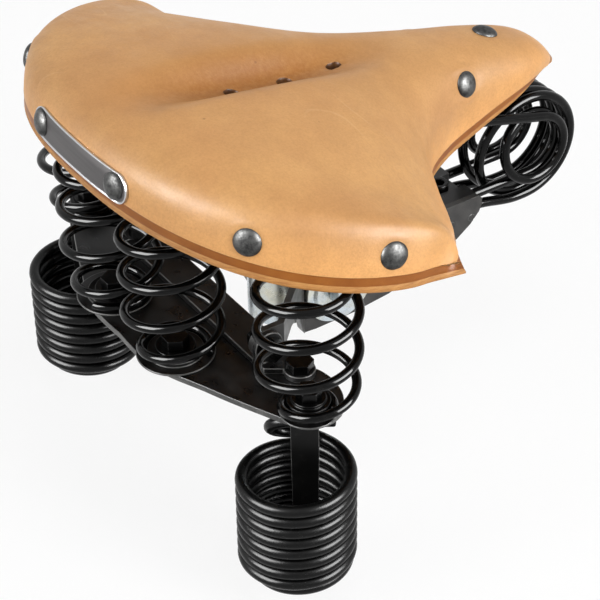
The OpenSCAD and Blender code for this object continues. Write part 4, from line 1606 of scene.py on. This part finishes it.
@dataclass
class FrontWire:
    """One nose wire: a rail held by the frame, a turn and a half, and a leg to the nose clamp."""

    name: str
    side: Side
    radius: float
    low: float
    rail_x: float
    leg_x: float
    reach: float
    rail_z: float
    wire: float = 5.0
    loop_y: float = 138.5
    # The rail: its rear end, where it starts to come down and over which length.
    back: float = 75.5
    fall_from: float = 106.0
    fall_over: float = 28.0
    # The loop: where it steps sideways and over which angle, and the angle at which the leg leaves.
    step_from: float = 90.0
    step_over: float = 180.0
    leave: float = 75.0
    # Gaps before and after the loop, the distance between the points of the line, and how many of
    # them on each side round it.
    rail_gap: float = 2.0
    leg_gap: float = 3.0
    spacing: float = 1.7
    rounding: int = 3

    def path(self) -> np.ndarray:
        """Centre line: rail, loop in the YZ plane that steps sideways, and leg, then rounded.

        Returns:
            Points of the line.
        """
        angle = np.linspace(-90, 360 + self.leave, 340)
        turn = np.radians(angle)
        shift = ease((angle - self.step_from) / self.step_over)
        loop = np.stack(
            [
                self.rail_x + (self.leg_x - self.rail_x) * shift,
                self.loop_y + self.radius * np.cos(turn),
                self.low + self.radius + self.radius * np.sin(turn),
            ],
            axis=1,
        )
        y = np.linspace(self.back, self.loop_y - self.rail_gap, 30)
        fall = ease((y - self.fall_from) / self.fall_over)
        z = self.low + (self.rail_z - self.low) * (1 - fall)
        rail = np.stack([np.full_like(y, self.rail_x), y, z], axis=1)
        k = np.linspace(self.leg_gap, self.reach, 34)
        go = math.radians(self.leave)
        y, z = loop[-1, 1] - k * math.sin(go), loop[-1, 2] + k * math.cos(go)
        leg = np.stack([np.full_like(k, self.leg_x), y, z], axis=1)
        line = np.concatenate([rail, loop, leg])
        line[:, 0] *= self.side.value
        return rounded(line, self.spacing, self.rounding)

    def build(self) -> None:
        """Sweeps the wire, which runs from the frame to the seat."""
        piece = wound(self.name, self.path(), self.wire, SIDEWAYS, GlossBlack())
        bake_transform(piece)


@dataclass
class EasedPart:
    """Copy of a CAD node whose sharp edges are rounded, with a second finish on the rounding.

    Widths are millimetres and angles are degrees. The upright sides can wear the second finish too.
    """

    node: str
    finish: Finish
    slot: str
    edge: Finish
    width: float
    segments: int = 2
    sides: bool = False
    merge: float = 0.002
    flat_angle: float = 0.6
    sharp_angle: float = 32.0
    upright: float = 0.5

    def build(self, source: bpy.types.Object, body: Body) -> None:
        """Copies the node, merges its loose triangles, rounds its edges and takes its place.

        Args:
            source: the node's object.
            body: the body that carries it.
        """
        mesh = source.data.copy()
        mesh.name = f"{self.node}_eased"
        work = bmesh.new()
        work.from_mesh(mesh)
        bmesh.ops.remove_doubles(work, verts=work.verts, dist=self.merge * MM)
        limit = math.radians(self.flat_angle)
        bmesh.ops.dissolve_limit(work, angle_limit=limit, verts=work.verts, edges=work.edges)
        work.to_mesh(mesh)
        work.free()
        mesh.materials.clear()
        for finish in (self.finish, self.edge):
            mesh.materials.append(finish.material())
        facing = np.empty(3 * len(mesh.polygons), np.float32)
        mesh.polygons.foreach_get("normal", facing)
        upright = (np.abs(facing[2::3]) < self.upright) & self.sides
        mesh.polygons.foreach_set("material_index", upright.astype(np.int32))
        mesh.polygons.foreach_set("use_smooth", np.ones(len(mesh.polygons), bool))
        for name in ("sharp_edge", "custom_normal"):
            if name in mesh.attributes:
                mesh.attributes.remove(mesh.attributes[name])
        piece = bpy.data.objects.new(mesh.name, mesh)
        bpy.context.scene.collection.objects.link(piece)
        bevel = piece.modifiers.new("eased edges", "BEVEL")
        bevel.width = self.width * MM
        bevel.segments = self.segments
        bevel.limit_method = "ANGLE"
        bevel.angle_limit = math.radians(self.sharp_angle)
        bevel.harden_normals = True
        bevel.material = 1
        stand_in(piece, self.node)
        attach(piece, body.value)


@dataclass(frozen=True)
class Lamp:
    """One square soft light, in metres and watts.

    A card is a reflector: it shows in gloss and adds no light to matt surfaces.
    """

    name: str
    place: Triple
    size: float
    power: float
    card: bool = False

    def hang(self, aim: Triple) -> None:
        """Adds the light, facing a point.

        Args:
            aim: the point that it faces.
        """
        data = bpy.data.lights.new(self.name, "AREA")
        data.shape = "SQUARE"
        data.size = self.size
        data.energy = self.power
        thing = bpy.data.objects.new(self.name, data)
        thing.visible_diffuse = not self.card
        thing.visible_glossy = self.card
        turn = (Vector(aim) - Vector(self.place)).to_track_quat("-Z", "Y")
        thing.matrix_world = Matrix.Translation(Vector(self.place)) @ turn.to_matrix().to_4x4()
        bpy.context.scene.collection.objects.link(thing)


@dataclass
class Studio:
    """Pale floor, soft lights and the camera at the photograph's viewing angle."""

    eye: Triple = (0.6382, -0.4134, 0.5528)
    azimuth: float = 56.35
    elevation: float = 36.46
    roll: float = -0.894
    lens: float = 121.014
    sensor: float = 36.0
    floor_z: float = -0.096
    # The floor by radius and height over its middle: flat, then curved up into a backdrop.
    dish: Pairs = (
        (0.5, 0.0), (1.0, 0.0), (1.6, 0.0), (2.2, 0.0), (2.6, 0.06), (2.85, 0.22), (3.0, 0.5),
        (3.05, 0.9), (3.05, 3.2),
    )  # fmt: skip
    dish_sides: int = 72
    sky: float = 0.25
    aim: Triple = (0.0, 0.02, 0.05)
    lamps: tuple[Lamp, ...] = (
        Lamp("overhead", (0.55, -0.05, 1.6), 0.9, 11.5),
        Lamp("left", (-0.1, -1.6, 1.0), 0.7, 10.0),
        Lamp("right", (1.7, 0.45, 0.9), 0.7, 23.0),
        Lamp("back", (-1.2, 0.9, 0.5), 0.5, 3.0),
        Lamp("left card", (-0.2, -1.5, 0.95), 1.2, 170.0, card=True),
        Lamp("right card", (1.5, 0.75, 0.8), 1.2, 170.0, card=True),
    )

    def camera(self) -> None:
        """Places the camera: its axis comes from azimuth and elevation, and it rolls about it."""
        data = bpy.data.cameras.new("camera")
        data.sensor_width = self.sensor
        data.lens = self.lens
        data.clip_end = 20.0
        thing = bpy.data.objects.new("camera", data)
        turn = Matrix.Rotation(math.radians(self.azimuth), 4, "Z")
        tip = Matrix.Rotation(math.radians(90 - self.elevation), 4, "X")
        spin = Matrix.Rotation(math.radians(self.roll), 4, "Z")
        thing.matrix_world = Matrix.Translation(Vector(self.eye)) @ turn @ tip @ spin
        bpy.context.scene.collection.objects.link(thing)
        bpy.context.scene.camera = thing

    def floor(self) -> None:
        """Makes the wide floor that curves up on every side: a dish of rings."""
        ring = spokes(np.array(SIDEWAYS), np.array(FORWARD), self.dish_sides)
        radius, height = np.array(self.dish).T[..., None, None]
        grid = radius * ring[None] + (self.floor_z + height) * np.array(UP)
        shell = Shell()
        first = shell.add_grid(grid / MM, closed=True)
        middle = np.array([0, 0, self.floor_z]) / MM
        shell.add_fan(first + np.arange(self.dish_sides), middle, flip=True)
        shell.piece("studio_floor", [StudioWhite()])

    def world(self) -> None:
        """White surroundings that light the saddle evenly and show plain white where seen."""
        world = bpy.data.worlds.new("studio")
        bpy.context.scene.world = world
        world.use_nodes = True
        nodes, links = world.node_tree.nodes, world.node_tree.links
        level = nodes.new("ShaderNodeMapRange")
        level.inputs["To Min"].default_value = self.sky
        links.new(seen_rays(world.node_tree), level.inputs["Value"])
        sky = nodes["Background"]
        sky.inputs["Color"].default_value = (1.0, 1.0, 1.0, 1.0)
        links.new(level.outputs["Result"], sky.inputs["Strength"])

    def build(self) -> None:
        """Sets up the whole studio."""
        bpy.context.scene.view_settings.view_transform = "Standard"
        self.world()
        self.floor()
        self.camera()
        for lamp in self.lamps:
            lamp.hang(self.aim)


@dataclass
class Saddle:
    """The whole saddle: makes every piece, and hands each piece but the tension coils and nose
    wires to the body that carries it.
    """

    frame: dict
    hide: Hide = field(default_factory=Hide)
    outer_spring: tuple[float, float] = (93.5, -47.2)
    inner_spring: tuple[float, float] = (26.5, -72.0)
    # Angle at which the springs of each side start.
    spring_starts: tuple[tuple[Side, float], ...] = ((Side.RIGHT, 38.5), (Side.LEFT, -66.0))

    def body_of(self, node: str) -> Body:
        """Body that carries a CAD node."""
        groups = self.frame["record"]["behaviour"]["bodies"]
        return next(Body(name) for name, members in groups.items() if node in members)

    def seat_pieces(self) -> None:
        """Hide, rivets and badge, which ride on the seat."""
        rivets = Rivets(self.hide)
        top = self.hide.build(rivets.seats())
        plate = Badge(self.hide).build()
        pieces = [("leather_top", top, "hide"), ("badge_plate", plate, "badge")]
        pieces += [(node, piece, "rivet") for node, piece in rivets.build()]
        for node, piece, slot in pieces:
            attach(stand_in(piece, node), Body.SEAT.value)

    def wires(self) -> None:
        """Compression springs, tension coils and nose wires of both sides."""
        for side, start in self.spring_starts:
            sign, word = side.value, side.word
            outer, inner = ((sign * x, y) for x, y in (self.outer_spring, self.inner_spring))
            CompressionSpring(
                f"spring_outer_{word}", outer, start, keep=0.8173, foot_r=10.9, widen=0.42
            ).build()
            CompressionSpring(f"spring_inner_{word}", inner, start, keep=0.784).build()
            TensionCoil(side).build()
            FrontWire(
                f"wire_outer_{word}", side, radius=27.0, low=3.52, rail_x=9.2, leg_x=3.6,
                reach=72.6, rail_z=8.5,
            ).build()  # fmt: skip
            FrontWire(
                f"wire_inner_{word}", side, radius=17.0, low=16.0, rail_x=10.4, leg_x=16.0,
                reach=70.0, rail_z=16.0,
            ).build()  # fmt: skip

    def eased_parts(self) -> list[EasedPart]:
        """Finish and edge rounding of every CAD node that keeps its shape.

        Returns:
            One part for each of these nodes.
        """
        satin, gloss, stem = SatinBlack(), GlossBlack(rough=0.2), GlossBlack(rough=0.3)
        # Lighter grey on the plates' rounded edges, and on the crescent plate's upright sides:
        # partly bare steel where paint is rubbed off, partly painted highlight where edges catch
        # the light.
        bare_and_highlit = SatinBlack(black="4A4A49", dust="83827F", rough=0.36)
        grey = SatinBlack(black="2F2E2D", dust="444240", rough=0.34)
        zinc, rivet = Zinc(), Gunmetal()
        struts = "cross_bar hanger_arm_left hanger_arm_right spring_seats"
        hidden = "cantle_plate cantle_rim nose_plate nose_clamp rail_saddle rail_cap"
        fasteners = (
            "ear_bolts ear_nuts guide_bolts guide_nuts rail_bolt rail_nut stem_washers stem_bolts "
            "seat_washers seat_bolts seat_nuts eye_washers eye_bolts eye_nuts nose_screws"
        )
        groups = (
            ("side_plate_left side_plate_right", grey, "plate_grey", bare_and_highlit, 0.5),
            (struts, satin, "plate_black", bare_and_highlit, 0.45),
            ("crescent_plate", satin, "plate_black", bare_and_highlit, 0.45, 2, True),
            (hidden, satin, "plate_black", satin, 0.5),
            ("stem_bar_left stem_bar_right", stem, "stem_black", bare_and_highlit, 0.5),
            ("post_band clamp_bolt clamp_nuts clamp_caps", zinc, "zinc", zinc, 0.6, 3),
            (fasteners, gloss, "fastener_black", gloss, 0.5),
            ("bridge_pins", grey, "plate_grey", bare_and_highlit, 0.3),
            ("rivet_burrs", rivet, "rivet", rivet, 0.25),
        )
        return [EasedPart(node, *looks) for nodes, *looks in groups for node in nodes.split()]

    def plates(self) -> None:
        """Plates and fasteners, copied from their CAD nodes with eased edges."""
        for part in self.eased_parts():
            part.build(self.frame["nodes"][part.node], self.body_of(part.node))

    def build(self) -> None:
        """Builds every piece in order."""
        self.seat_pieces()
        self.wires()
        self.plates()


def main() -> None:
    """Loads the frame and builds the studio and the saddle."""
    logging.basicConfig(level=logging.INFO, format="%(name)s: %(message)s")
    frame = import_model()
    Studio().build()
    Saddle(frame).build()


if __name__ == "__main__":
    main()
